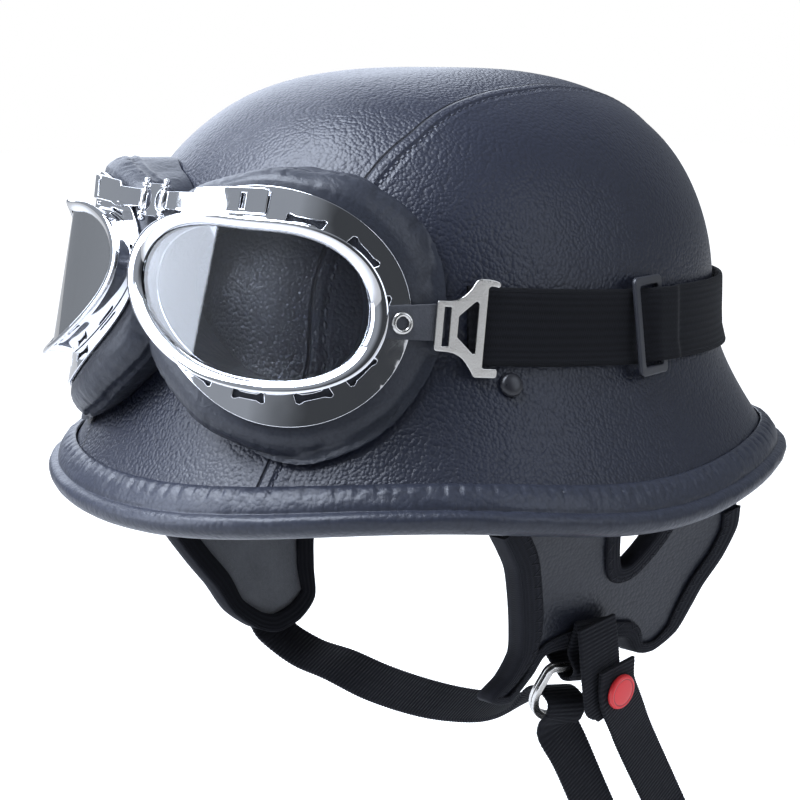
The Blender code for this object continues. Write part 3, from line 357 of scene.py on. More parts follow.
tone = calc("MULTIPLY_ADD", dome, 0.7, calc("MULTIPLY", calc("SUBTRACT", coarse, 0.5), 0.5))
wire(leather_grain, (pebble, given, "Height"), (tone, given, "Tone"))

# A row of stitches beside an edge: thread bumps and the furrow that they pull in
stitch_row, held, given = new_group(
    "stitch_row", ["Thread", "Furrow"], Across=0.0, Along=0.0, Place=0.005, Pitch=0.0035, Thread=0.00035
)
calc = partial(math_node, stitch_row)
aside = calc("DIVIDE", calc("ABSOLUTE", calc("SUBTRACT", held["Across"], held["Place"])), held["Thread"])
line = calc("SUBTRACT", 1.0, calc("MINIMUM", aside, 1.0))
wave = calc("SINE", calc("MULTIPLY", calc("DIVIDE", held["Along"], held["Pitch"]), 2 * pi))
dash = calc("MINIMUM", calc("MAXIMUM", calc("ADD", wave, 0.62), 0.0), 1.0)
furrow = calc("SUBTRACT", 1.0, calc("MINIMUM", calc("DIVIDE", aside, 3.2), 1.0))
wire(stitch_row, (calc("MULTIPLY", line, dash), given, "Thread"), (furrow, given, "Furrow"))


def place_group(tree, group, **values):
    node = new_node(tree, "Group")
    node.node_tree = group
    set_inputs(node, **values)
    return node


def uv_map(tree, name="UVMap"):
    node = new_node(tree, "UVMap")
    node.uv_map = name
    return node.outputs["UV"]


def uv_parts(tree, name="UVMap"):
    parts = new_node(tree, "SeparateXYZ")
    wire(tree, (uv_map(tree, name), parts, "Vector"))
    return parts.outputs["X"], parts.outputs["Y"]


def bump(tree, height, strength, distance, before=None):
    node = new_node(tree, "Bump", Strength=strength, Distance=distance)
    wire(tree, (height, node, "Height"))
    if before is not None:
        wire(tree, (before, node, "Normal"))
    return node.outputs["Normal"]


def tint(tree, shader, factor, low, high):
    """Colour a finish between two tones; without a low one, between its colour so far and the high."""
    mix = new_node(tree, "Mix")
    mix.data_type = "RGBA"
    set_inputs(mix, B=(*high, 1))
    if low:
        set_inputs(mix, A=(*low, 1))
    else:
        wire(tree, (shader.inputs["Base Color"].links[0].from_socket, mix, "A"))
    wire(tree, (factor, mix, "Factor"), (mix.outputs["Result"], shader, "Base Color"))


def dress(tree, shader, pattern, tones=None, rough=None, relief=None, before=None):
    """Let a pattern drive a finish: its two tones, its roughness as slope and start, and its
    relief as strength and depth, over the relief before."""
    if tones:
        tint(tree, shader, pattern, *tones)
    if rough:
        wire(tree, (math_node(tree, "MULTIPLY_ADD", pattern, *rough), shader, "Roughness"))
    if relief:
        wire(tree, (bump(tree, pattern, *relief, before), shader, "Normal"))


def leather_paint(name, dark, light, roughness, cell, crease):
    """Semi-gloss leather with a pebbled grain."""
    paint, tree, shader = start_paint(name, dark, roughness)
    grain = place_group(tree, leather_grain, Cell=cell, Crease=crease)
    wire(tree, (new_node(tree, "TexCoord").outputs["Object"], grain, "Vector"))
    dress(tree, shader, grain.outputs["Tone"], (dark, light), (-0.10, roughness))
    set_inputs(shader, Specular_IOR_Level=0.42)
    return paint, tree, shader, grain.outputs["Height"]


SEAM_GAP, STITCH_PLACE, STITCH_PITCH, STITCH_THREAD = 0.0008, 0.0048, 0.0042, 0.00045
cover_leather, tree, shader, grain = leather_paint(
    "cover_leather", (0.0085, 0.0100, 0.0178), (0.0155, 0.0180, 0.0300), 0.42, 720.0, 1.0
)
calc = partial(math_node, tree)
across, along = uv_parts(tree, "seam")
row = place_group(tree, stitch_row, Place=STITCH_PLACE, Pitch=STITCH_PITCH, Thread=STITCH_THREAD)
wire(tree, (across, row, "Across"), (along, row, "Along"))
gap = calc("SUBTRACT", 1.0, calc("MINIMUM", calc("DIVIDE", calc("ABSOLUTE", across), SEAM_GAP), 1.0))
raised = calc("MULTIPLY", row.outputs["Thread"], 0.6)
relief = calc("SUBTRACT", raised, calc("MULTIPLY", row.outputs["Furrow"], 0.8))
relief = calc("SUBTRACT", relief, calc("MULTIPLY", gap, 1.3))
dress(tree, shader, relief, relief=(1.0, 0.0007), before=bump(tree, grain, 0.50, 0.00050))
# Painted shade: the seam's gap between the panels is darkened in the base colour
tint(tree, shader, calc("MULTIPLY", gap, 0.85), None, (0.004, 0.0045, 0.007))

COVER_COLUMNS, COVER_ROWS, COVER_SKIN, COVER_OUT = 320, 110, 0.0009, -0.0002
TOP_LEVEL, HEM_PLACE, HEM_REACH, HEM_PROUD = 0.9995, 0.0028, 0.0034, 0.0007


def apex_point(out):
    """Middle of the last ring, where a dome's last row closes."""
    return (helmet_offset(0, TOP_LEVEL, out) + helmet_offset(pi, TOP_LEVEL, out)) / 2


def cover_place(u, v):
    """Rows run from the rim to the apex; the side panels' folded edges stand proud at the seams."""
    if v >= 1:
        return apex_point(COVER_OUT)
    turn = 2 * pi * u
    level = -1 + 0.92 * v / 0.5 if v < 0.5 else -0.08 + 1.08 * ((v - 0.5) / 0.5) ** 0.85
    point = helmet_point(turn, min(level, TOP_LEVEL))
    strip = max(0.0, 1 - abs(seam_distance(point) - HEM_PLACE) / HEM_REACH)
    ripple = uneven(*(point * 38)) * 0.00035
    return helmet_offset(turn, level, COVER_OUT + HEM_PROUD * strip ** 0.6 + ripple)


cover = grid_piece("leather_cover", COVER_COLUMNS, COVER_ROWS, cover_place, 0.00002)
seam_uv = cover.data.uv_layers.new(name="seam")
corners = np.empty(len(cover.data.loops), dtype=np.int64)
cover.data.loops.foreach_get("vertex_index", corners)
spots = [v.co for v in cover.data.vertices]
seam_rows = np.array([(seam_distance(p), p.y + 0.8 * p.z * (1 if p.y < 0 else -1)) for p in spots])
seam_uv.data.foreach_set("uv", seam_rows[corners].ravel())
solid_wall(cover, COVER_SKIN)
finish_piece(cover, cover_leather, "leather", "cover_centre", "cover_left", "cover_right")

# Shell: a black moulded shell, seen only from below inside the rim. Its smooth inner face
# carries faint mould marks and a satin sheen.
SHELL_OUTSIDE, SHELL_WALL = -0.0016, 0.004
shell_plastic, tree, shader = start_paint("shell_plastic", (0.012, 0.012, 0.014), 0.42)
SHELL_TONES = (0.009, 0.009, 0.011), (0.018, 0.018, 0.021)
dress(tree, shader, noise_node(tree, 240.0), SHELL_TONES, relief=(0.25, 0.0002))


def shell_place(u, v):
    return apex_point(SHELL_OUTSIDE) if v >= 1 else helmet_offset(2 * pi * u, -1 + 2 * v, SHELL_OUTSIDE)


shell = grid_piece("moulded_shell", 128, 60, shell_place, 0.00002)
solid_wall(shell, SHELL_WALL)
finish_piece(shell, shell_plastic, "shell", "shell")

# Rim binding: a padded strip of the same leather folded over the rim and glued, with short
# pleats where it turns the curve and a crease above the rolled lower edge.
TRIM_SHARE, TRIM_WALL, TRIM_IN, RIM_LENGTH, TRIM_GIRTH = 0.22, 0.0015, -0.0061, 0.890, 0.05
# Its section from the tucked top edge down the outside and up the inner leg: share of the
# band's height, distance off the leather in millimetres
TRIM_ROWS = [
    (0.97, 0.30), (1.0, 0.75), (0.99, 1.35), (0.95, 2.0), (0.86, 2.75), (0.74, 3.15), (0.60, 3.1),
    (0.46, 2.85), (0.36, 2.5), (0.315, 2.15), (0.285, 2.0), (0.265, 2.35), (0.21, 3.0), (0.13, 3.5),
    (0.05, 3.45), (-0.03, 2.9), (-0.10, 1.7), (-0.145, 0.2), (-0.16, -1.6), (-0.155, -3.4), (-0.12, -5.6),
    (-0.04, -7.2), (0.08, -7.6), (0.25, -7.6), (0.42, -7.6), (0.45, -7.2), (0.45, -6.3), (0.40, -6.1),
    (0.0, -6.1), (-0.05, -5.0), (-0.05, 0.2), (0.3, 0.30),
]
PLEATS, PLEAT_DEPTH, PLEAT_MIDDLE, PLEAT_REACH, TRIM_UNEVEN = 148, 0.0013, 0.80, 0.24, 0.0003
PLEATED_ROWS, OUTER_ROWS = range(2, 10), range(20)


def row_at(rows, v, closed=True):
    """The values a share v along rows, between the two nearest."""
    rows = [*rows, rows[0]] if closed else rows
    spot = v * (len(rows) - 1)
    index = min(int(spot), len(rows) - 2)
    return [a + (b - a) * (spot - index) for a, b in zip(rows[index], rows[index + 1])]


def trim_place(u, v):
    turn = 2 * pi * u
    index = int(v * len(TRIM_ROWS))
    up, out = row_at(TRIM_ROWS, v)
    out /= 1000
    if index in PLEATED_ROWS:
        pleat = abs(sin(pi * (u * PLEATS + 0.3 * uneven(u * 60, 0, 0))))
        depth = 0.8 + 0.5 * uneven(u * 90, 3, 1)
        out -= PLEAT_DEPTH * depth * max(0.0, 1 - abs(up - PLEAT_MIDDLE) / PLEAT_REACH) * (1 - pleat) ** 3
    if index in OUTER_ROWS:
        out += TRIM_UNEVEN * uneven(cos(turn) * 18, sin(turn) * 18, up * 5)
    rim = helmet_point(turn, -1)
    top = helmet_point(turn, TRIM_SHARE - 1)
    along = helmet_point(turn + NUDGE, -1) - helmet_point(turn - NUDGE, -1)
    return rim + (top - rim) * up + along.cross(top - rim).normalized() * out


trim_leather, tree, shader, grain = leather_paint(
    "trim_leather", (0.0135, 0.0155, 0.0240), (0.0270, 0.0305, 0.0445), 0.44, 620.0, 0.8
)
stretch = new_node(tree, "Mapping", Scale=(330.0, 30.0, 1.0))
wire(tree, (uv_map(tree), stretch, "Vector"))
crinkle = noise_node(tree, 1.0, stretch.outputs["Vector"], Detail=4.0)
dress(tree, shader, crinkle, relief=(0.22, 0.0012), before=bump(tree, grain, 0.5, 0.0003))
trim = grid_piece("rim_binding", 888, len(TRIM_ROWS) * 2, trim_place, 0.00002, 70, RIM_LENGTH, TRIM_GIRTH)
finish_piece(trim, trim_leather, "trim", "edge_trim")

# Side studs: black domed plastic caps over the rivets at the helmet's sides, lightly scuffed.
# Each sits flat on the leather, a little below the goggle strap.
STUD_RADIUS, STUD_HEIGHT, STUD_ANGLE, STUD_LEVEL = 0.0045, 0.0024, radians(-28.2), 0.0468
STUD_ROWS = [
    (0.0, 1.0), (0.28, 0.985), (0.52, 0.91), (0.72, 0.80), (0.86, 0.64), (0.93, 0.44), (0.985, 0.26),
    (1.0, 0.14), (0.97, 0.02), (0.90, 0.0), (0.0, 0.0),
]
stud_plastic, tree, shader = start_paint("stud_plastic", (0.014, 0.014, 0.017), 0.28)
dress(tree, shader, noise_node(tree, 600.0), rough=(0.22, 0.20), relief=(0.15, 0.0001))


def spun(name, parts, rows, seat, across, up, out, join=0.00001, angle=50, steps=None):
    """A turned shape on a seat: its rows are radius and height in metres."""
    def place(u, v):
        radius, height = row_at(rows, v, False)
        turn = 2 * pi * u
        return seat + across * radius * cos(turn) + up * radius * sin(turn) + out * height
    return grid_piece(name, parts, steps or len(rows) - 1, place, join, angle)


for side, sign in SIDES.items():
    turn = STUD_ANGLE if sign > 0 else pi - STUD_ANGLE
    level = level_at(turn, STUD_LEVEL)
    out = (helmet_offset(turn, level, 1.0) - helmet_point(turn, level)).normalized()
    across = Vector((0, 0, 1)).cross(out).normalized()
    rows = [(STUD_RADIUS * r, STUD_HEIGHT * h) for r, h in STUD_ROWS]
    seat = helmet_offset(turn, level, 0.0005)
    stud = spun("domed_stud_" + side, 32, rows, seat, across, out.cross(across), out)
    finish_piece(stud, stud_plastic, "plastic", "side_stud_" + side)

# Goggle cushion: soft leather wrapped round foam behind both plates, one piece over the nose,
# gathered in small wrinkles along its outer roll and sewn round with a sunk seam.
EYE_ACROSS, EYE_FORWARD, EYE_UP = 0.05205, 0.12841, 0.07762
EYE_YAW, EYE_PITCH, EYE_ROLL = radians(33.3), radians(10.5), radians(-8.8)
EYE_BEND = 0.0794
PLATE_WIDTH, PLATE_HEIGHT, PLATE_SHIFT, PLATE_WALL = 0.0973, 0.0845, (0.0027, 0.0016), 0.001
RING_WIDTH, RING_HEIGHT, RING_SHIFT = 0.0843, 0.0663, (-0.0027, 0.001)
PLATE_SHAPE = [(0.05, -0.05), (-0.02, 0.02), (0.01, 0.0)]
RING_SHAPE = [(0.10, -0.03), (-0.03, 0.04), (-0.01, -0.02)]
PAD_OVERHANG, PAD_ROLL, PAD_SEAT, PAD_CLEAR, PAD_FACE = 0.014, 0.010, 0.0009, 0.0028, -PLATE_WALL - 0.0005


def eye_vectors(sign):
    """Across towards the temple, up, and out of the lens."""
    flat = cos(EYE_PITCH)
    out = Vector((sin(EYE_YAW) * flat, -cos(EYE_YAW) * flat, sin(EYE_PITCH)))
    level = Vector((cos(EYE_YAW), sin(EYE_YAW), 0))
    rise = out.cross(level)
    if rise.z < 0:
        rise = -rise
    across = level * cos(EYE_ROLL) + rise * sin(EYE_ROLL)
    up = rise * cos(EYE_ROLL) - level * sin(EYE_ROLL)
    return [Vector((v.x * sign, v.y, v.z)) for v in (across, up, out)]


def eye_point(sign, across, up, out):
    """A point on or off the bent eyepiece."""
    to_temple, to_top, to_front = eye_vectors(sign)
    centre = Vector((sign * EYE_ACROSS, -EYE_FORWARD, EYE_UP))
    bend = across / EYE_BEND
    radius = EYE_BEND + out
    return centre + to_temple * radius * sin(bend) + to_top * up + to_front * (radius * cos(bend) - EYE_BEND)


def egg(width, height, shift, shape, turn, grow):
    swell = 1.0
    for i, (cosine, sine) in enumerate(shape, 2):
        swell += cosine * cos(i * turn) + sine * sin(i * turn)
    across = (width / 2 + grow) * cos(turn) * swell + shift[0]
    return across, (height / 2 + grow) * sin(turn) * swell + shift[1]


def plate_outline(turn, grow=0.0):
    return egg(PLATE_WIDTH, PLATE_HEIGHT, PLATE_SHIFT, PLATE_SHAPE, turn, grow)


def ring_outline(turn, grow=0.0):
    return egg(RING_WIDTH, RING_HEIGHT, RING_SHIFT, RING_SHAPE, turn, grow)


def seat_on_helmet(point, out):
    """The place straight in or out from a point that stands off the leather."""
    turn = atan2(point[1], point[0])
    level = level_at(turn, point[2])
    surface = helmet_point(turn, level)
    face = (helmet_offset(turn, level, 1.0) - surface).normalized()
    radius = hypot(surface.x, surface.y) + out / max(0.35, hypot(face.x, face.y))
    return round_point(turn, radius, point[2])


PAD_SHARES = [1.4, 1.5, 1.1, 0.65, 0.5, 0.85, 0.65, 1.15, 1.0, 0.75, 0.9, 1.15, 1.4]
PAD_TURNS = [i * pi / 6 for i in range(13)]


def eased(value, stops, values):
    """Between the stops, with soft corners."""
    index = min(max(int(np.searchsorted(stops, value)) - 1, 0), len(stops) - 2)
    share = (value - stops[index]) / (stops[index + 1] - stops[index])
    share = share * share * (3 - 2 * share)
    return values[index] * (1 - share) + values[index + 1] * share


# Cushion section round its roll: share of the overhang and share of the roll's depth
PAD_FRONT = [
    (0.05, 0.0), (0.30, 0.02), (0.52, 0.13), (0.74, 0.33), (0.90, 0.58), (0.985, 0.84), (1.0, 1.05),
    (0.97, 1.22),
]


def pad_section(turn):
    over = PAD_OVERHANG * eased(turn % (2 * pi), PAD_TURNS, PAD_SHARES)
    rim = ring_outline(turn, -0.0035)
    points = [eye_point(1, *rim, PAD_FACE), eye_point(1, *plate_outline(turn, -0.003), PAD_FACE)]
    for share, drop in PAD_FRONT:
        points.append(eye_point(1, *plate_outline(turn, share * over), PAD_FACE - drop * PAD_ROLL))
    for i, point in enumerate(points):
        least = seat_on_helmet(point, PAD_CLEAR)
        if hypot(least.x, least.y) > hypot(point.x, point.y):
            points[i] = least
    for spot in (plate_outline(turn, 0.88 * over), plate_outline(turn, 0.2 * over), rim):
        points.append(seat_on_helmet(eye_point(1, *spot, PAD_FACE - PAD_ROLL), PAD_SEAT))
    return points


PAD_COLUMNS, WRINKLE, PAD_UNEVEN, PAD_FURROW = 288, 0.0009, 0.0007, 0.0006
pad_sections = [pad_section(2 * pi * i / PAD_COLUMNS) for i in range(PAD_COLUMNS)]
pad_count = len(pad_sections[0])


def pad_place(u, v):
    section = pad_sections[round(u * PAD_COLUMNS) % PAD_COLUMNS]
    spot = v * pad_count
    index = int(spot) % pad_count
    point = section[index].lerp(section[(index + 1) % pad_count], spot - int(spot))
    if 2 <= spot <= 10:
        away = (point - sum(section, Vector()) / pad_count).normalized()
        deep = sin(pi * (spot - 2) / 8)
        gather = uneven(u * 95, spot * 0.35, 2) + 0.5 * uneven(u * 210, spot * 0.5, 7)
        point = point + away * deep * (WRINKLE * min(0.0, gather) + PAD_UNEVEN * uneven(*(point * 60)))
        if 6.6 < spot < 7.4:
            point = point - away * PAD_FURROW
    return point


pad_leather, tree, shader, grain = leather_paint(
    "cushion_leather", (0.0140, 0.0158, 0.0225), (0.0270, 0.0300, 0.0400), 0.45, 800.0, 0.5
)
pull = noise_node(tree, 170.0, Detail=4.0, Distortion=0.8)
dress(tree, shader, pull, relief=(0.45, 0.0009), before=bump(tree, grain, 0.35, 0.0002))
cushion = grid_piece("cushion", PAD_COLUMNS, pad_count * 3, pad_place, 0.00002)
ACROSS_ONLY = (True, False, False)
modify(
    cushion, "MIRROR",
    use_axis=ACROSS_ONLY, use_bisect_axis=ACROSS_ONLY, use_clip=True, merge_threshold=0.00004,
)
smooth(cushion, 80)
finish_piece(cushion, pad_leather, "pad", "goggle_cushion")

# Eyepieces: bright chromed plates, bent to the face and stamped with a ring of vents, flared
# bezels of the same chrome round the openings, and clear bent lenses.
chrome_plate, tree, shader = start_paint("chrome_plate", (0.86, 0.87, 0.89), 0.045, 1.0)
ripple = noise_node(tree, 85.0, Detail=1.0)
dished = bump(tree, noise_node(tree, 22.0, Detail=0.0), 0.6, 0.006)
CHROME_TONES = (0.80, 0.81, 0.84), (0.90, 0.90, 0.91)
dress(tree, shader, ripple, CHROME_TONES, relief=(0.22, 0.0010), before=dished)
dress(tree, shader, noise_node(tree, 700.0), rough=(0.07, 0.015))

SLOT_WIDTH, SLIT_WIDTH, RING_INSET, RING_WALL, RING_LIP = 0.0034, 0.0009, 0.0022, 0.002, 0.011
# Each vent's middle and half length round the ring in degrees, width and distance from it
VENTS = [
    (72.5, 9.5, SLOT_WIDTH, 0.5), (41, 9, SLOT_WIDTH, 0.5), (7, 9, SLOT_WIDTH, 0.5),
    (333, 9, SLOT_WIDTH, 0.5), (306.5, 8.5, SLOT_WIDTH, 0.5), (275.5, 8, SLOT_WIDTH, 0.5),
    (246, 9, SLOT_WIDTH, 0.35), (99.5, 7, SLIT_WIDTH, 0.6), (132, 6, SLIT_WIDTH, -1.0),
    (167, 9, SLIT_WIDTH, -1.0), (211, 9, SLIT_WIDTH, -1.0),
]
# Half a slot's edge, from one end to the other: share of its length, share of its half width;
# the wide slots end in small knuckles, like a bone
BONE_EDGE = [
    (-1.0, 0.25), (-1.0, 0.85), (-0.86, 1.15), (-0.72, 0.95), (-0.55, 0.62), (0.0, 0.56), (0.55, 0.62),
    (0.72, 0.95), (0.86, 1.15), (1.0, 0.85), (1.0, 0.25),
]
SLIT_EDGE = [(-1, 0.2), (-0.9, 1), (0, 1), (0.9, 1), (1, 0.2)]


def vent_outline(middle, half, width, distance):
    wide = width == SLOT_WIDTH
    line = distance * width if wide else distance * RING_INSET / 2.4
    rows = BONE_EDGE if wide else SLIT_EDGE
    rows = rows + [(share, -edge) for share, edge in reversed(rows)]
    return [ring_outline(radians(middle + share * half), line - edge * width / 2) for share, edge in rows]


def cut_rows(bm, axis, step, near):
    """Cut a mesh in strips one step wide along an axis."""
    spots = [v.co[axis] for v in bm.verts]
    face = [float(i == axis) for i in range(3)]
    for at in np.arange(min(spots) + step, max(spots), step):
        everything = bm.verts[:] + bm.edges[:] + bm.faces[:]
        spot = [float(at) * n for n in face]
        bmesh.ops.bisect_plane(bm, geom=everything, plane_co=spot, plane_no=face, dist=near)


def stamped(name, outline, holes, wall, place, edge=0.00012, step=0.002):
    """Sheet stamped from a flat outline: a filled curve with a rounded edge, cut in narrow
    strips across, so that place(across, up, out) can bend it."""
    data = bpy.data.curves.new(name, "CURVE")
    data.dimensions = "2D"
    data.fill_mode = "BOTH"
    data.extrude = wall / 2 - edge
    data.bevel_depth = edge
    data.bevel_resolution = 2
    data.offset = -edge
    for loop in [outline, *holes]:
        spline = data.splines.new("POLY")
        spline.points.add(len(loop) - 1)
        for point, (a, b) in zip(spline.points, loop):
            point.co = (a, b, 0, 1)
        spline.use_cyclic_u = True
    pick(new_object(name, data))
    bpy.ops.object.convert(target="MESH")
    piece = bpy.context.object

    def bend(bm):
        bmesh.ops.remove_doubles(bm, verts=bm.verts, dist=0.000002)
        cut_rows(bm, 0, step, 0.0000005)
        for v in bm.verts:
            v.co = place(*v.co)
        bmesh.ops.recalc_face_normals(bm, faces=bm.faces)

    edit(piece, bend)
    smooth(piece, 38)
    modify(piece, "WEIGHTED_NORMAL", keep_sharp=True)
    return piece


# Bezel section: inset from the ring's outline and height off the plate, up the outside,
# over the flared lip and down the inside
BEZEL_ROWS = [
    (RING_INSET, 0.0003), (RING_INSET, 0.0022), (RING_INSET - 0.0002, 0.0048),
    (RING_INSET - 0.0003, 0.0070), (RING_INSET - 0.0006, 0.0086), (RING_INSET - 0.0011, 0.0096),
    (0.0005, 0.0102), (0.0004, 0.0107), (0.0009, 0.01105), (0.0018, 0.0110), (0.0029, 0.0106),
    (0.0040, 0.0099), (0.0047, 0.0091), (0.0050, 0.0085), (0.0047, 0.0082), (0.0043, 0.0079),
    (0.0042, 0.0060), (0.0042, 0.0030), (0.0042, 0.0004), (0.0032, 0.0003),
]
LENS_FRONT, LENS_WALL, LENS_INSET = 0.74 * RING_LIP - 0.0003, 0.0016, RING_INSET + RING_WALL + 0.0003

clear_lens, tree, shader = start_paint("clear_lens", (0.93, 0.95, 0.97), 0.0)
set_inputs(shader, Transmission_Weight=1.0, IOR=1.49, Coat_Weight=0.6, Coat_Roughness=0.02)
dress(tree, shader, noise_node(tree, 24.0), ((0.90, 0.92, 0.95), (0.95, 0.96, 0.98)))

turns = [2 * pi * i / 160 for i in range(160)]
ring_hole = [ring_outline(turn, -RING_INSET - RING_WALL) for turn in turns]
lens_edge = [ring_outline(turn, -LENS_INSET) for turn in turns]
plate_edge = [plate_outline(turn) for turn in turns]
plate_holes = [ring_hole, *[vent_outline(*row) for row in VENTS]]
for side, sign in SIDES.items():
    def sheet(middle):
        return lambda a, b, c: eye_point(sign, a, b, middle + c)

    def bezel_place(u, v):
        inset, height = row_at(BEZEL_ROWS, v)
        return eye_point(sign, *ring_outline(2 * pi * u, -inset), height)

    bent = sheet(-PLATE_WALL / 2)
    plate = stamped("chrome_plate_" + side, plate_edge, plate_holes, PLATE_WALL, bent, 0.00025)
    finish_piece(plate, chrome_plate, "chrome", "eye_plate_" + side)
    bezel = grid_piece("bezel_" + side, 192, len(BEZEL_ROWS), bezel_place, angle=55)
    finish_piece(bezel, chrome_plate, "chrome", "lens_bezel_" + side)
    glass = stamped("lens_sheet_" + side, lens_edge, [], LENS_WALL, sheet(LENS_FRONT - LENS_WALL / 2), 0.0002)
    finish_piece(glass, clear_lens, "lens", "lens_" + side)

# Bridge: a notched link that hangs on a pin at each plate, and an embossed arm folded over
# the plate's top edge. Bright chrome, stamped.
PIN_ACROSS, PIN_UP, KNUCKLE_RADIUS = -0.0497, 0.030, 0.0019
LINK_HEIGHT, LINK_WALL, ARM_KNUCKLE_HEIGHT, ARM_SEAT, PLAY = 0.0118, 0.0009, 0.0072, 0.0006, 0.0003
ARM_OUTLINE = [
    (-0.0485, 0.0272), (-0.032, 0.0272), (-0.0285, 0.0285), (-0.019, 0.0296), (-0.005, 0.0310),
    (-0.0045, 0.0318), (-0.0045, 0.0392), (-0.006, 0.0400), (-0.020, 0.0384), (-0.0335, 0.0364),
    (-0.0345, 0.0345), (-0.0485, 0.0335),
]
ARM_SLIT = [(-0.0145, 0.0315), (-0.0125, 0.0316), (-0.0125, 0.0372), (-0.0145, 0.0370)]
# The pin's head and neck: radius and height past the knuckles in millimetres
PIN_ROWS = [
    (0, 1.75), (0.6, 1.65), (1.15, 1.3), (1.4, 0.85), (1.35, 0.4), (1.0, 0.12), (0.95, 0.0), (0.9, -1.0),
]
RIGHTWAYS = Vector((1, 0, 0))
lean = (eye_vectors(1)[1] + eye_vectors(-1)[1]).normalized()
ahead = RIGHTWAYS.cross(lean)
pins = {sign: eye_point(sign, PIN_ACROSS, PIN_UP, PLATE_WALL / 2 + ARM_SEAT) for sign in (1, -1)}
arm_reach, half = ARM_KNUCKLE_HEIGHT / 2, LINK_HEIGHT / 2
notch = hypot(arm_reach, KNUCKLE_RADIUS) + PLAY
notch_turns = [pi * i / 20 for i in range(21)]
notch_arc = [(pins[1].x - notch * sin(turn), notch * cos(turn)) for turn in notch_turns]
link_outline = [(pins[1].x, half), *notch_arc, (pins[1].x, -half)]
link_outline += [(-x, -z) for x, z in link_outline]
middle = (pins[1] + pins[-1]) / 2


def tube_rows(radius, low, high, ease=0.0003):
    """Rows of a closed tube with eased ends."""
    end = [(0, low), (radius - ease, low), (radius, low + ease)]
    return end + [(radius, high - ease), (radius - ease, high), (0, high)]


def join_pieces(name, pieces):
    pick(pieces[0])
    for piece in pieces:
        piece.select_set(True)
    bpy.ops.object.join()
    pieces[0].name = pieces[0].data.name = name
    return pieces[0]


def link_place(a, b, c):
    return middle + RIGHTWAYS * a + lean * b - ahead * c


link_bits = [stamped("link_web", link_outline, [], LINK_WALL, link_place, 0.0002, 0.05)]
for sign in (1, -1):
    for low, high in ((notch + 0.0001, half - 0.0001), (-half + 0.0001, -notch - 0.0001)):
        rows = tube_rows(KNUCKLE_RADIUS, low, high)
        link_bits.append(spun("link_knuckle", 24, rows, pins[sign], RIGHTWAYS, ahead, lean))
finish_piece(join_pieces("hinged_link", link_bits), chrome_plate, "chrome", "bridge_link")

for side, sign in SIDES.items():
    def arm_bend(a, b, c):
        """The clip end stands proud of the plate's edge, with an embossed middle."""
        clip = max(0.0, min(1.0, (a + 0.033) / 0.004)) * max(0.0, min(1.0, (b - 0.0335) / 0.003))
        raised = 0.0005 * max(0.0, 1 - ((b - 0.0305) / 0.0022) ** 2) if a < -0.034 else 0.0
        return eye_point(sign, a, b, ARM_SEAT + PLATE_WALL / 2 + c + 0.0004 * clip + raised)

    arm = stamped("arm_plate", ARM_OUTLINE, [ARM_SLIT], PLATE_WALL, arm_bend, 0.0003, 0.0012)
    rows = tube_rows(KNUCKLE_RADIUS, -arm_reach, arm_reach)
    knuckle = spun("arm_knuckle", 24, rows, pins[sign], RIGHTWAYS, ahead, lean)
    arm = join_pieces("hinge_arm_" + side, [arm, knuckle])
    finish_piece(arm, chrome_plate, "chrome", "bridge_arm_" + side)
    rows = [(r / 1000, half + PLAY + h / 1000) for r, h in PIN_ROWS]
    rows += [(r, -h) for r, h in reversed(rows)]
    rod = spun("ball_pin_" + side, 20, rows, pins[sign], RIGHTWAYS, ahead, lean)
    finish_piece(rod, chrome_plate, "chrome", "hinge_pin_" + side)

# Goggle strap: black elastic with fine ribs along its length. It runs round the helmet from
# hook to hook, under the slider's front bar and over its rear bar.
STRAP_WIDTH, STRAP_WALL, STRAP_SEAT, STRAP_START = 0.028, 0.002, 0.0008, radians(-36.5)
SLIDER_ANGLE, SLIDER_LENGTH, SLIDER_WALL, SLIDER_BAR = radians(6.5), 0.022, 0.0018, 0.0036
SLIDER_PLAY, SLIDER_EASE, STRAP_LENGTH, STRAP_BOW = 0.0008, 0.0004, 0.47, 0.7
# Height of the strap's middle at angles round the helmet
STRAP_TURNS = [radians(angle) for angle in (-40, -17, 2, 30, 50, 90)]
STRAP_HEIGHTS = [0.0690, 0.0655, 0.0630, 0.0615, 0.0605, 0.0600]
slider_half = SLIDER_LENGTH / 2 / WAIST_HALF_WIDTH


def strap_middle(turn):
    return float(np.interp(min(turn, pi - turn), STRAP_TURNS, STRAP_HEIGHTS))


def strap_lift(turn):
    share = min(max((turn - SLIDER_ANGLE) / slider_half, -0.35), 1.9)
    return eased(share, [-0.35, 0.30, 1.12, 1.9], [0, 1, 1, 0]) * (SLIDER_WALL + SLIDER_EASE + 0.0015)


# Webbing section: share of its half width, share of its wall; its edges are woven a little thinner
STRAP_RIM = [
    (-1, 0.2), (-1, 0.8), (-0.96, 0.95), (-0.88, 1), (-0.5, 1), (0, 1), (0.5, 1), (0.88, 1), (0.96, 0.95),
    (1, 0.8), (1, 0.2), (0.96, 0.05), (0.88, 0), (0.5, 0), (0, 0), (-0.5, 0), (-0.88, 0), (-0.96, 0.05),
]


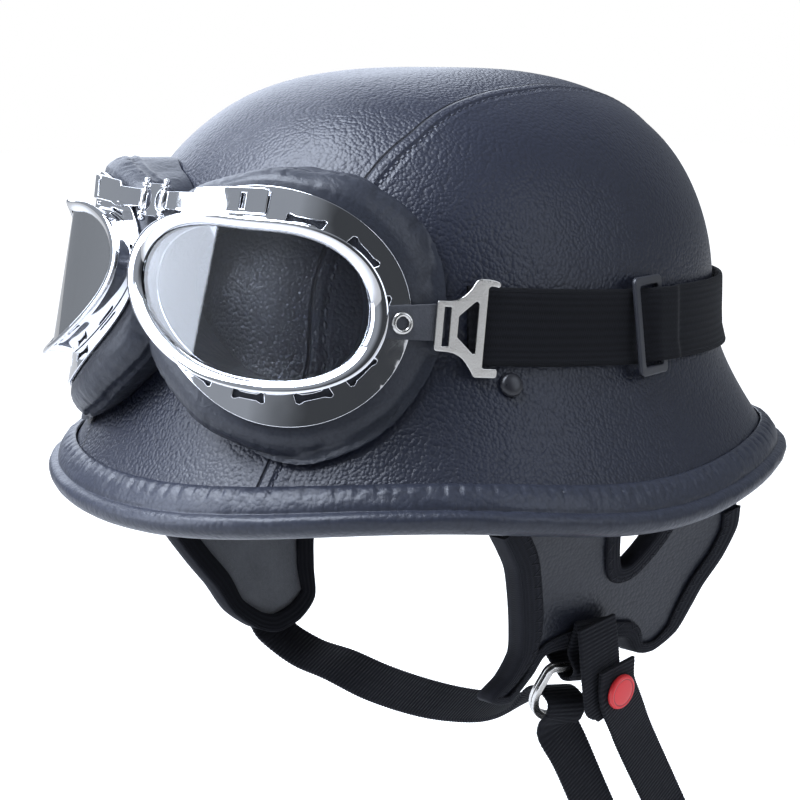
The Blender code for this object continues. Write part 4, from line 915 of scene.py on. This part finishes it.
def strap_place(u, v):
    """The strap follows the leather, but keeps nearly straight across its width."""
    turn = STRAP_START + u * (pi - 2 * STRAP_START)
    width, wall = row_at(STRAP_RIM, v)
    middle = strap_middle(turn)
    out = STRAP_SEAT + strap_lift(turn) + STRAP_WALL * wall
    edges = [helmet_offset(turn, level_at(turn, middle + s * STRAP_WIDTH / 2), out) for s in (-1, 1)]
    chord = 0.5 * (edges[0] + edges[1])
    point = helmet_offset(turn, level_at(turn, middle + STRAP_WIDTH / 2 * width), out)
    radius = hypot(point.x, point.y)
    straight = max(0.0, hypot(chord.x, chord.y) - radius)
    grow = (radius + STRAP_BOW * straight) / radius
    return Vector((point.x * grow, point.y * grow, point.z))


# Ribs one after the other up the UV map, crossed by threads; the UV map is in metres
ribbed_weave, held, given = new_group("ribbed_weave", ["Height", "Tone"], UV=None, Rib=0.0011, Thread=0.0007)
calc = partial(math_node, ribbed_weave)
split = new_node(ribbed_weave, "SeparateXYZ")
lint = noise_node(ribbed_weave, 900.0, held["UV"], Detail=3.0)
wire(ribbed_weave, (held["UV"], split, "Vector"))
rib = calc("SINE", calc("MULTIPLY", calc("DIVIDE", split.outputs["Y"], held["Rib"]), 2 * pi))
yarn = calc("SINE", calc("MULTIPLY", calc("DIVIDE", split.outputs["X"], held["Thread"]), 2 * pi))
woven = calc("MULTIPLY_ADD", calc("MULTIPLY", rib, yarn), 0.35, rib)
woven = calc("MULTIPLY_ADD", lint, 0.35, calc("MULTIPLY_ADD", woven, 0.35, 0.5))
wire(ribbed_weave, (woven, given, "Height"), (calc("MULTIPLY", woven, 0.6), given, "Tone"))


def webbing_paint(name, low, high, rib, thread, roughness=0.82, depth=0.0003):
    paint, tree, shader = start_paint(name, low, roughness)
    weave = place_group(tree, ribbed_weave, Rib=rib, Thread=thread)
    wire(tree, (uv_map(tree), weave, "UV"))
    dress(tree, shader, weave.outputs["Tone"], (low, high))
    dress(tree, shader, weave.outputs["Height"], relief=(0.8, depth))
    set_inputs(shader, Specular_IOR_Level=0.2, Sheen_Weight=0.03, Sheen_Roughness=0.5)
    return paint, tree, shader


elastic_weave, tree, shader = webbing_paint(
    "elastic_weave", (0.0016, 0.0017, 0.0026), (0.0065, 0.0067, 0.0095), 0.0013, 0.0009
)
strap = grid_piece(
    "elastic_strap", 420, len(STRAP_RIM), strap_place, angle=60, wide=STRAP_LENGTH, tall=2 * STRAP_WIDTH
)
finish_piece(strap, elastic_weave, "webbing", "goggle_strap")

# Slider: a flat frame of dark grey moulded plastic, tilted by the strap that threads it: its
# front bar lies over the strap and its rear bar under it.
slider_plastic, tree, shader = start_paint("slider_plastic", (0.020, 0.021, 0.026), 0.34)
SLIDER_TONES = (0.017, 0.018, 0.023), (0.028, 0.029, 0.035)
dress(tree, shader, noise_node(tree, 420.0), SLIDER_TONES, relief=(0.3, 0.00015))
turn = SLIDER_ANGLE
height = strap_middle(turn)
tall = STRAP_WIDTH / 2 + SLIDER_PLAY
frame_half = tall + SLIDER_BAR
foot = helmet_offset(turn, level_at(turn, height - frame_half), 0)
head = helmet_offset(turn, level_at(turn, height + frame_half), 0)
rise = (head - foot).normalized()
back = rise.cross(Vector((cos(turn), sin(turn), 0))).normalized()
out = back.cross(rise)
front_height, rear_height = STRAP_SEAT + STRAP_WALL + PLAY, PLAY
tilt = atan2(front_height - rear_height, SLIDER_LENGTH - SLIDER_BAR)
run = back * cos(tilt) - out * sin(tilt)
lift = out * cos(tilt) + back * sin(tilt)
base = (foot + head) / 2 + out * ((front_height + rear_height) / 2 + SLIDER_EASE)


def rounded(half_x, half_y, radius, parts=5):
    """A rectangle with round corners, anticlockwise."""
    points = []
    for i, (sx, sy) in enumerate([(1, 1), (-1, 1), (-1, -1), (1, -1)]):
        for j in range(parts + 1):
            a = pi / 2 * (i + j / parts)
            across = sx * (half_x - radius) + radius * cos(a)
            points.append((across, sy * (half_y - radius) + radius * sin(a)))
    return points


def slider_place(a, b, c):
    return base + run * a + rise * b + lift * (c + SLIDER_WALL / 2)


window = rounded(SLIDER_LENGTH / 2 - SLIDER_BAR, tall, 0.0012)
outside = rounded(SLIDER_LENGTH / 2, frame_half, 0.0024)
slider = stamped("slider_frame", outside, [window], SLIDER_WALL, slider_place, 0.0006, 0.05)
finish_piece(slider, slider_plastic, "plastic", "strap_slider")

# Temple tabs: dark suede leather, riveted through with satin nickel rings, that carry the
# stamped nickel hooks of the goggle strap.
TAB_SEAT, TAB_WALL = 0.0007, 0.0011
TAB_OUTLINE = [
    (0.0423, 0.0080), (0.0605, 0.0122), (0.0642, 0.0120), (0.0662, 0.0012), (0.0630, -0.0006),
    (0.0440, -0.0031),
]
RIVET_SPOT, RIVET_RADIUS, RIVET_HEIGHT = (0.0489, 0.0032), 0.004, 0.0011
RIVET_ROWS = [
    (0.55, 0), (1, 0), (1.02, 0.25), (0.98, 0.6), (0.9, 0.88), (0.78, 1.0), (0.68, 0.95), (0.60, 0.75),
    (0.55, 0.4), (0.55, 0),
]
tab_suede, tree, shader = start_paint("tab_suede", (0.045, 0.046, 0.052), 0.86)
nap = noise_node(tree, 1300.0, Detail=4.0)
mixed = math_node(tree, "MULTIPLY", math_node(tree, "ADD", nap, noise_node(tree, 130.0)), 0.55)
dress(tree, shader, mixed, ((0.030, 0.031, 0.037), (0.085, 0.086, 0.094)))
dress(tree, shader, nap, relief=(0.7, 0.0003))

# Satin nickel, brushed along its length
satin_nickel, tree, shader = start_paint("satin_nickel", (0.66, 0.64, 0.60), 0.24, 1.0)
brush = new_node(tree, "Mapping", Scale=(180.0, 1500.0, 1500.0))
wire(tree, (new_node(tree, "TexCoord").outputs["Object"], brush, "Vector"))
streak = noise_node(tree, 1.0, brush.outputs["Vector"], Detail=3.0)
NICKEL_TONES = (0.55, 0.53, 0.50), (0.74, 0.72, 0.68)
dress(tree, shader, streak, NICKEL_TONES, (0.20, 0.13), (0.12, 0.0002))

# The hook's outline, slot and window in millimetres from the bar in the tab
HOOK_WALL, HOOK_EDGE, HOOK_BAR, HOOK_REACH = 1.2, 0.28, 1.3, 15.5
HOOK_OUTLINE = [
    (0.0, 8.0), (0.25, 8.5), (0.7, 8.7), (5.0, 8.8), (7.4, 9.3), (9.5, 10.6), (11.2, 12.2), (12.4, 13.8),
    (13.4, 15.7), (14.0, 16.4), (15.2, 17.0), (18.0, 17.0), (20.8, 16.6), (22.2, 16.1), (22.7, 15.4),
    (22.6, 14.6), (22.0, 14.1), (20.6, 14.4), (19.4, 14.5), (18.6, 14.2), (18.3, 13.4), (18.3, -13.8),
    (18.5, -14.4), (19.2, -14.6), (23.4, -14.6), (24.0, -15.2), (24.0, -17.0), (23.6, -17.7), (23.0, -17.9),
    (16.0, -17.9), (15.4, -17.6), (14.8, -16.8), (13.6, -14.9), (12.0, -12.8), (10.6, -11.4), (9.0, -10.4),
    (7.2, -9.6), (5.0, -9.2), (0.8, -9.0), (0.25, -8.6), (0.0, -8.0),
]
HOOK_SLOT = [
    (2.7, 6.4), (2.9, 6.6), (5.0, 6.6), (5.2, 6.4), (5.2, -7.0), (5.0, -7.2), (2.9, -7.2), (2.7, -7.0),
]
HOOK_WINDOW = [
    (8.2, 3.2), (8.5, 3.8), (13.8, 8.7), (14.4, 8.9), (15.1, 8.5), (15.3, 8.0), (15.3, -9.0), (15.0, -9.5),
    (14.4, -9.5), (8.5, -4.1), (8.2, -3.6),
]
for side, sign in SIDES.items():
    def tab_place(a, b, c):
        return eye_point(sign, a, b, TAB_SEAT + TAB_WALL / 2 + c)

    def hook_place(a, b, c):
        return bar + run * (a - HOOK_BAR) * stretch + (rise * b + lift * c) / 1000

    tab = stamped("temple_tab_" + side, TAB_OUTLINE, [], TAB_WALL, tab_place, 0.0002, 0.0015)
    finish_piece(tab, tab_suede, "suede", "side_tab_" + side)

    foot = TAB_SEAT + TAB_WALL + PLAY
    seat = eye_point(sign, *RIVET_SPOT, foot)
    out = (eye_point(sign, *RIVET_SPOT, 1.0) - seat).normalized()
    up = eye_vectors(sign)[1]
    rows = [(r * RIVET_RADIUS, h * RIVET_HEIGHT) for r, h in RIVET_ROWS]
    rivet = spun("ring_rivet_" + side, 32, rows, seat, up.cross(out), up, out, angle=60)
    finish_piece(rivet, satin_nickel, "nickel", "tab_rivet_" + side)

    bar = eye_point(sign, 0.0622, 0.0050, foot + HOOK_WALL / 2000 + PLAY)
    turn = STRAP_START + radians(2.0)
    turn = turn if sign > 0 else pi - turn
    over = STRAP_SEAT + STRAP_WALL + PLAY + HOOK_WALL / 1000
    grip = helmet_offset(turn, level_at(turn, strap_middle(turn)), over)
    run = (grip - bar).normalized()
    rise = (Vector((0, 0, 1)) - run * run.z).normalized()
    lift = run.cross(rise) * sign
    stretch = (grip - bar).length / HOOK_REACH
    hook = stamped(
        "wire_hook_" + side, HOOK_OUTLINE, [HOOK_SLOT, HOOK_WINDOW], HOOK_WALL, hook_place, HOOK_EDGE, 50
    )
    finish_piece(hook, satin_nickel, "nickel", "strap_hook_" + side)

# Ear flaps: smooth grained leather outside, grey plush inside, bound with black tape that is
# folded over the edge and zigzag stitched; each has a bound ear hole.
FLAP_HALF_WIDTH, FLAP_LEAN, FLAP_WALL, LINING_WALL = 0.106, 0.35, 0.0014, 0.0035
TAPE_WIDTH, TAPE_WALL, TAPE_SEAT, LINING_SEAT, FLAP_TUCK = 0.0075, 0.001, 0.0006, 0.0005, 0.0003
FLAP_SOFT, FLAP_UNEVEN, FLAP_STEP, TAPE_GIRTH = 0.0012, 0.0007, 0.004, 0.024


def flap_reach(forward_lean, along, up):
    """A flap hangs straight, but keeps inside the rim where that is narrower."""
    straight = FLAP_HALF_WIDTH + FLAP_LEAN * up + forward_lean * along
    flare = max(0.0, (WAIST_HEIGHT - up) / WAIST_HEIGHT) ** FLARE_POWER
    half_width = WAIST_HALF_WIDTH + (RIM_HALF_WIDTH - WAIST_HALF_WIDTH) * flare
    rim, waist = (RIM_FRONT, WAIST_FRONT) if along < 0 else (RIM_BACK, WAIST_BACK)
    share = abs(along) / (waist + (rim - waist) * flare)
    wall = half_width * (1 - share ** PLAN_POWER) ** (1 / PLAN_POWER)
    wall += (TRIM_IN - TRIM_WALL) * 1.17 - FLAP_TUCK
    return -FLAP_SOFT * log(exp(-straight / FLAP_SOFT) + exp(-wall / FLAP_SOFT))


# Flap outlines in millimetres, along and up, with the share of the tape's width; then the holes
LEFT_FLAP = [
    (-58, 4, 1), (-54, -8, 1), (-48, -15, 1), (-42, -23, 1), (-36, -36, 1), (-31, -49, 1), (-28, -60, 0.8),
    (-31, -70, 0.45), (-37, -77, 0.3), (-29, -79, 0.3), (-22, -70, 0.4), (-17, -61, 0.6), (0, -60, 0.9),
    (24, -61, 0.7), (33, -69, 0.4), (42, -70, 0.5), (51, -64, 0.8), (55, -54, 1), (58, -45, 1),
    (64, -34, 1), (67, -22, 1), (65, -13, 1), (62, 4, 1),
]
LEFT_HOLE = [(1, -8), (5, -23), (9, -31), (15, -31), (21, -25), (26, -17), (27, -9), (22, -5), (6, -5)]
RIGHT_FLAP = [
    (-64, 4, 1), (-66, -9, 1), (-66, -20, 1), (-61, -35, 1), (-52, -50, 1), (-45, -60, 1), (-39, -71, 0.8),
    (-29, -79, 0.8), (-19, -82, 0.8), (-6, -79, 0.8), (4, -72, 0.8), (7, -60, 1), (12, -46, 1),
    (24, -38, 1), (40, -34, 1), (54, -28, 1), (63, -20, 1), (64, -13, 1), (62, 4, 1),
]
RIGHT_HOLE = [(0, -8), (4, -19), (9, -25), (15, -25), (21, -20), (26, -13), (26, -8), (21, -5), (5, -5)]
LEFT_LEAN, RIGHT_LEAN, HOLE_TAPE_SHARE, CURVE_PARTS = 0.1, 0.0, 0.7, 7
FLAPS = {"left": (LEFT_FLAP, LEFT_HOLE, LEFT_LEAN), "right": (RIGHT_FLAP, RIGHT_HOLE, RIGHT_LEAN)}


def soft_line(rows, parts, closed, rounding=0.75):
    """Rows of any columns on a curve that eases round their corners."""
    rows = [np.array(row, dtype=float) for row in rows]
    if closed:
        ring = [rows[-1], *rows, rows[0], rows[1]]
    else:
        ring = [2 * rows[0] - rows[1], *rows, 2 * rows[-1] - rows[-2]]
    path = []
    for before, start, end, after in zip(ring, ring[1:], ring[2:], ring[3:]):
        for i in range(parts):
            t = i / parts
            bend = 2 * before - 5 * start + 4 * end - after
            twist = 3 * (start - end) + after - before
            curved = start + 0.5 * t * (end - before + t * (bend + t * twist))
            path.append(curved * rounding + (start + (end - start) * t) * (1 - rounding))
    if not closed:
        path.append(rows[-1])
    return path


flap_leather, tree, shader, grain = leather_paint(
    "flap_leather", (0.0075, 0.0085, 0.0130), (0.0150, 0.0165, 0.0235), 0.44, 700.0, 0.8
)
dress(tree, shader, grain, relief=(0.7, 0.0003))

flap_plush, tree, shader = start_paint("flap_plush", (0.085, 0.085, 0.088), 0.98)
pile = math_node(tree, "MULTIPLY", noise_node(tree, 700.0, Detail=6.0, Roughness=0.75), 0.6)
mixed = math_node(tree, "ADD", pile, math_node(tree, "MULTIPLY", noise_node(tree, 110.0, Detail=3.0), 0.5))
dress(tree, shader, mixed, ((0.075, 0.074, 0.078), (0.300, 0.296, 0.300)), relief=(1.0, 0.0012))
set_inputs(shader, Sheen_Weight=0.5, Sheen_Roughness=0.6)

# Binding tape: fine ribs along it, with a zigzag of thread; its UV map holds metres
ZIGZAG_SWING, ZIGZAG_START, ZIGZAG_THREAD = 0.0022, 0.0016, 0.0004
binding_tape, tree, shader = webbing_paint(
    "binding_tape", (0.0040, 0.0042, 0.0060), (0.0125, 0.0128, 0.0180), 0.0010, 0.0009
)
calc = partial(math_node, tree)
along, across = uv_parts(tree)
zigzag = calc("SUBTRACT", calc("SUBTRACT", across, ZIGZAG_START), calc("PINGPONG", along, ZIGZAG_SWING))
zigzag = calc("MINIMUM", calc("DIVIDE", calc("ABSOLUTE", zigzag), ZIGZAG_THREAD), 1.0)
ribs = shader.inputs["Normal"].links[0].from_socket
dress(tree, shader, calc("SUBTRACT", 1.0, zigzag), relief=(0.8, 0.0005), before=ribs)

tape_back = -FLAP_WALL - LINING_SEAT - LINING_WALL - TAPE_SEAT
# Tape section: share of the tape's width inward (negative) or wall outward, and side
TAPE_RIM = [(-1, 0.0), (-1, 0.85), (-0.93, 1.0), (-0.5, 1.0), (-0.1, 1.0), (0.06, 0.8), (0.13, 0.3)]


def bound_tape(name, rows, point, closed, outward, node):
    """Tape folded over an edge: rows are along, up and share of the tape's width."""
    path = soft_line(rows, CURVE_PARTS, closed)
    count = len(path)
    length = sum(hypot(*(b - a)[:2]) for a, b in zip(path, path[1:]))
    sections = []
    for i, row in enumerate(path):
        before = path[i - 1 if closed or i else i]
        after = path[(i + 1) % count if closed or i < count - 1 else i]
        run = (after - before)[:2]
        run = run / np.linalg.norm(run)
        away = np.array((run[1], -run[0])) * outward
        width = TAPE_WIDTH * row[2]
        section = []
        for reach, wall in TAPE_RIM:
            reach = reach * width if reach < 0 else PLAY + reach * 8 * TAPE_WALL
            section.append((reach, TAPE_SEAT + wall * TAPE_WALL))
        section += [(reach, tape_back - out) for reach, out in reversed(section)]
        section += [(-width, tape_back), (PLAY, tape_back), (PLAY, TAPE_SEAT), (-width, TAPE_SEAT)]
        sections.append(
            [point(row[0] + away[0] * reach, row[1] + away[1] * reach, out) for reach, out in section]
        )
    rim = len(sections[0])
    spans = count if closed else count - 1

    def tape_place(u, v):
        return sections[round(u * spans) % count][round(v * rim) % rim]

    tape = grid_piece(name, spans, rim, tape_place, 0.000005, 70, length, TAPE_GIRTH, not closed)
    finish_piece(tape, binding_tape, "webbing", node)


for side, sign in SIDES.items():
    outline, hole, forward_lean = FLAPS[side]

    def flap_point(along, up, out):
        return Vector((sign * (flap_reach(forward_lean, along, up) + out), along, up))

    def leather_place(out, along, up):
        """The leather lies a little uneven over its lining."""
        soft = FLAP_UNEVEN * uneven(along * 35, up * 35, sign)
        return flap_point(along, up, out - FLAP_WALL / 2) + Vector((sign * soft, 0, 0))

    def plush_place(out, along, up):
        return flap_point(along, up, out - FLAP_WALL - LINING_SEAT - LINING_WALL / 2)

    rows = [(a / 1000, u / 1000, s) for a, u, s in outline]
    hole_rows = [(a / 1000, u / 1000, HOLE_TAPE_SHARE) for a, u in hole]
    edge = [rows[0], *soft_line(rows[1:-1], CURVE_PARTS, False), rows[-1]]
    hole_edge = soft_line(hole_rows, CURVE_PARTS, True)
    edge, hole_edge = ([(float(row[0]), float(row[1])) for row in line] for line in (edge, hole_edge))
    for name, paint, slot, node, wall, place in (
        ("flap_outside_", flap_leather, "leather", "ear_flap_", FLAP_WALL, leather_place),
        ("flap_plush_", flap_plush, "plush", "flap_lining_", LINING_WALL, plush_place),
    ):
        sheet = stamped(
            name + side, edge, [hole_edge], wall, lambda a, b, c: Vector((c, a, b)), 0.0003, FLAP_STEP
        )
        edit(sheet, lambda bm: cut_rows(bm, 2, FLAP_STEP, 0.000001))
        for vertex in sheet.data.vertices:
            vertex.co = place(*vertex.co)
        if sign < 0:
            sheet.data.flip_normals()
        smooth(sheet)
        finish_piece(sheet, paint, slot, node + side)
    bound_tape("edge_tape_" + side, rows[1:-1], flap_point, False, 1, "flap_tape_" + side)
    bound_tape("hole_binding_" + side, hole_rows, flap_point, True, -1, "hole_tape_" + side)

# D-rings: two flat nickel-plated rings stacked on one bar's line; the webbing loop holds them,
# and their bows hang down and inwards.
RING_BAR_CENTRE = Vector((0.0860, -0.0007, -0.0690))
RING_BAR_ALONG = Vector((0.056, 0.989, -0.139)).normalized()
RING_HANG = Vector((-0.499, -0.093, -0.862)).normalized()
RING_FACE = RING_BAR_ALONG.cross(RING_HANG)
D_HALF_WIDTH, D_SIDE, D_BAND, D_WALL, D_CORNER = 0.0155, 0.010, 0.003, 0.0015, 0.0022


def ring_frame(across, hang, through):
    return RING_BAR_CENTRE + RING_BAR_ALONG * across + RING_HANG * hang + RING_FACE * through


def d_outline(grow, parts=20):
    reach, corner = D_HALF_WIDTH + grow, D_CORNER + grow
    left = []
    for a in (1.4, 0.95, 0.5, 0.1):
        left.append((-reach + corner * (1 - cos(a)), -grow + corner * (1 - sin(a))))
    turns = [pi * i / parts for i in range(parts + 1)]
    bow = [(-reach * cos(turn), D_SIDE + reach * sin(turn)) for turn in turns]
    return left + bow + [(-x, y) for x, y in reversed(left)]


for node, side in (("d_ring_outer", -1), ("d_ring_inner", 1)):
    def ring_place(a, b, c):
        return ring_frame(a, b, c + side * (D_WALL + PLAY) / 2)

    ring = stamped(
        "plated_" + node, d_outline(D_BAND / 2), [d_outline(-D_BAND / 2)], D_WALL, ring_place, 0.0004, 0.02
    )
    finish_piece(ring, satin_nickel, "nickel", node)

# Black polyester webbing, 20 mm wide, with serrated edges and a sewn box at each hidden end. One
# piece loops the D-rings to the flap, one carries the snap, and the chin strap runs under the
# chin, through the rings, down in a free loop and back up to the snap.
WEBBING_WIDTH, WEBBING_WALL, SERRATION = 0.020, 0.0017, 0.0016
WEBBING_DARK, WEBBING_LIGHT = (0.0035, 0.0036, 0.0050), (0.0140, 0.0142, 0.0185)
THREAD_COLOUR = (0.030, 0.031, 0.038)
SEWN_WIDE, SEWN_LONG, SEWN_THREAD, SEWN_PITCH = 0.0072, 0.0055, 0.00045, 0.0026
WEBBING_ROUND = 2 * (WEBBING_WIDTH + WEBBING_WALL)
BACK_MIDDLE = 14 / len(STRAP_RIM) * WEBBING_ROUND


def sewn_webbing(name, centre):
    """Webbing with a box of stitches crossed by two diagonals, at a place along its UV map."""
    paint, tree, shader = webbing_paint(name, WEBBING_DARK, WEBBING_LIGHT, 0.0016, 0.0021, 0.78, 0.0004)
    calc = partial(math_node, tree)
    across, along = uv_parts(tree)
    aside = calc("ABSOLUTE", calc("SUBTRACT", across, BACK_MIDDLE))
    ahead = calc("ABSOLUTE", calc("SUBTRACT", along, centre))
    past = calc("MAXIMUM", calc("SUBTRACT", aside, SEWN_WIDE), calc("SUBTRACT", ahead, SEWN_LONG))
    slant = calc("ABSOLUTE", calc("SUBTRACT", calc("MULTIPLY", aside, SEWN_LONG / SEWN_WIDE), ahead))
    near = calc("MINIMUM", calc("ABSOLUTE", past), calc("MAXIMUM", slant, past))
    dash = calc("SINE", calc("MULTIPLY", calc("ADD", across, along), 2 * pi / SEWN_PITCH))
    sewn = calc("MULTIPLY", calc("LESS_THAN", near, SEWN_THREAD), calc("GREATER_THAN", dash, -0.5))
    dress(tree, shader, sewn, relief=(0.9, 0.0006), before=shader.inputs["Normal"].links[0].from_socket)
    tint(tree, shader, sewn, None, THREAD_COLOUR)
    return paint


def ribbon_piece(name, rows, paint, node, shares=None, width=WEBBING_WIDTH):
    """Webbing along rows of x, y, z and the direction across it, evenly cut for its serration."""
    path = soft_line(rows, 8, False, 1.0)
    places = [Vector(row[:3]) for row in path]
    lengths = [0.0]
    for a, b in zip(places, places[1:]):
        lengths.append(lengths[-1] + (b - a).length)
    length = lengths[-1]
    count = max(8, round(length / (SERRATION / 2)))
    table = np.array([[*p, *row[3:6]] for p, row in zip(places, path)])
    marks = [length * i / count for i in range(count + 1)]
    even = [[float(np.interp(mark, lengths, table[:, k])) for k in range(6)] for mark in marks]
    sections = []
    for i, row in enumerate(even):
        low, high = even[max(0, i - 2)], even[min(count, i + 2)]
        run = (Vector(high[:3]) - Vector(low[:3])).normalized()
        across = Vector(row[3:])
        across = (across - run * across.dot(run)).normalized()
        lift = run.cross(across) * WEBBING_WALL
        share = shares(length - marks[i]) if shares else 1.0
        reach = (width / 2 - 0.0002) * share + (0.00018 if i % 2 else -0.00005)
        sections.append([Vector(row[:3]) + across * w * reach + lift * (t - 0.5) for w, t in STRAP_RIM])
    rim = len(STRAP_RIM)

    def ribbon_place(u, v):
        return sections[round(v * count)][round(u * rim) % rim]

    piece = grid_piece(name, rim, count, ribbon_place, 0.000002, 70, WEBBING_ROUND, length, True)
    finish_piece(piece, paint, "webbing", node)


def in_metres(rows):
    return [(x / 1000, y / 1000, z / 1000, *across) for x, y, z, *across in rows]


# Routes: x, y, z in millimetres and the direction across the webbing
CHIN_ROUTE = [
    (-88.4, -19, -58, 0, 1, 0), (-85.4, -18, -67, 0, 1, 0), (-82.9, -16, -76, 0, 1, 0),
    (-79.6, -12, -86, 0, 1, 0.1), (-67, -6, -94, 0, 0.95, 0.3), (-50, -2, -97, 0, 0.9, 0.42),
    (-30, 1, -101, 0, 0.86, 0.5), (-6, 2, -102, 0, 0.86, 0.5), (15, 3, -101, 0, 0.88, 0.46),
    (38, 3, -97, 0, 0.92, 0.38), (56, 1, -90, 0, 0.97, 0.2),
]
RING_PASS = [
    (0.0190, 0.0085), (0.0155, 0.0045), (0.0148, 0.0), (0.0158, -0.0040), (0.0205, -0.0058),
    (0.0260, -0.0058),
]
SNAP_SPOT, SNAP_TIP = Vector((0.0948, 0.0112, -0.0790)), Vector((0.0965, 0.0090, -0.0685))
FREE_END = [
    (78, 4, -107, 0, 0.95, 0.3), (78.5, 15.5, -128.6, 0, 0.88, 0.48), (78, 23, -142, 0.12, 0.86, 0.5),
    (77, 31, -155, 0.5, 0.7, 0.4), (79, 43, -162, 1, 0.1, 0.05), (83, 54, -155, 0.6, 0.66, 0.38),
    (85, 56, -146, 0.2, 0.86, 0.5), (86, 50.9, -135.6, 0, 0.86, 0.5), (89.2, 29.8, -105.3, 0, 0.9, 0.4),
    (92, 19.7, -91, 0, 0.95, 0.25), (*(SNAP_SPOT * 1000), 0, 0.98, 0.15),
    (*(SNAP_TIP * 1000), 0, 0.98, 0.15),
]
through_rings = [(*ring_frame(0, hang, through), *RING_BAR_ALONG) for hang, through in RING_PASS]
chin_rows = in_metres(CHIN_ROUTE) + through_rings + in_metres(FREE_END)
ribbon_piece("chin_webbing_strap", chin_rows, sewn_webbing("chin_webbing", 0.009), "chin_strap")

# The loop: down outside the flap, round the rings' bar and up inside the lining
LOOP_PLACE, BAR_CLEAR = 0.0015, D_WALL + PLAY + WEBBING_WALL + 0.0011
LOOP_OUTSIDE = [(-0.050, 0.0032), (-0.057, 0.0034), (-0.063, 0.0038)]
LOOP_INSIDE = [(-0.064, -0.0088), (-0.057, -0.0091), (-0.050, -0.0091)]
outside, inside = (
    [(flap_reach(LEFT_LEAN, LOOP_PLACE, up) + out, up) for up, out in rows]
    for rows in (LOOP_OUTSIDE, LOOP_INSIDE)
)
round_bar = []
for turn in [radians(angle) for angle in (10, -30, -70, -110, -150)]:
    across, up = BAR_CLEAR * cos(turn), BAR_CLEAR * sin(turn)
    round_bar.append((RING_BAR_CENTRE.x + across, RING_BAR_CENTRE.z - 0.0006 + up))
loop_rows = [(x, LOOP_PLACE, z, *RING_BAR_ALONG) for x, z in outside + round_bar + inside]
ribbon_piece("ring_loop", loop_rows, sewn_webbing("loop_webbing", 0.008), "d_ring_loop")

TAB_ROUTE = [
    (95.1, -1.5, -50, 0, 1, 0), (95.2, -0.2, -58, 0, 1, 0), (94.0, 2.3, -68, 0, 1, 0.1),
    (91.9, 6.0, -79, 0, 0.97, 0.25), (90.3, 9.4, -90, 0, 0.95, 0.3),
]
TAB_ROUND = 0.0085


def tab_share(left):
    """The tab's lower end is cut round."""
    return max(0.45, sqrt(1 - max(0.0, 1 - left / TAB_ROUND) ** 2))


tab_webbing = sewn_webbing("tab_webbing", 0.0085)
ribbon_piece("snap_tab_strip", in_metres(TAB_ROUTE), tab_webbing, "snap_tab", tab_share, 1.05 * WEBBING_WIDTH)

# Snap button: a 14 mm coral red enamelled cap with a rolled rim, clenched through the strap's
# end, with painted shade darkening the groove inside the rim.
BUTTON_RADIUS, BUTTON_HEIGHT = 0.0070, 0.0024
BUTTON_ROWS = [
    (0.0, 0.0), (0.94, 0.0), (0.99, 0.12), (1.0, 0.35), (0.985, 0.62), (0.95, 0.80), (0.90, 0.90),
    (0.85, 0.92), (0.80, 0.86), (0.75, 0.84), (0.70, 0.88), (0.5, 0.95), (0.25, 0.99), (0.0, 1.0),
]
run = (SNAP_TIP - SNAP_SPOT).normalized()
across = Vector((0, 0.98, 0.15))
across = (across - run * across.dot(run)).normalized()
out = across.cross(run)
seat = SNAP_SPOT + out * (WEBBING_WALL / 2 + 1.4 * PLAY)
rows = [(r * BUTTON_RADIUS, h * BUTTON_HEIGHT) for r, h in BUTTON_ROWS]
button = spun("coral_snap", 48, rows, seat, across, run, out, 0.000002, steps=26)
RED, GROOVE_SHADE_RED, GROOVE_PLACE = (0.86, 0.042, 0.045), (0.34, 0.012, 0.014), 0.66
snap_enamel, tree, shader = start_paint("snap_enamel", RED, 0.34)
calc = partial(math_node, tree)
groove = calc("ABSOLUTE", calc("SUBTRACT", uv_parts(tree)[1], GROOVE_PLACE))
# Painted shade: the enamel turns a darker red along the groove inside the rim
dress(tree, shader, calc("MINIMUM", calc("MULTIPLY", groove, 14.0), 1.0), (GROOVE_SHADE_RED, RED))
finish_piece(button, snap_enamel, "red", "snap_button")
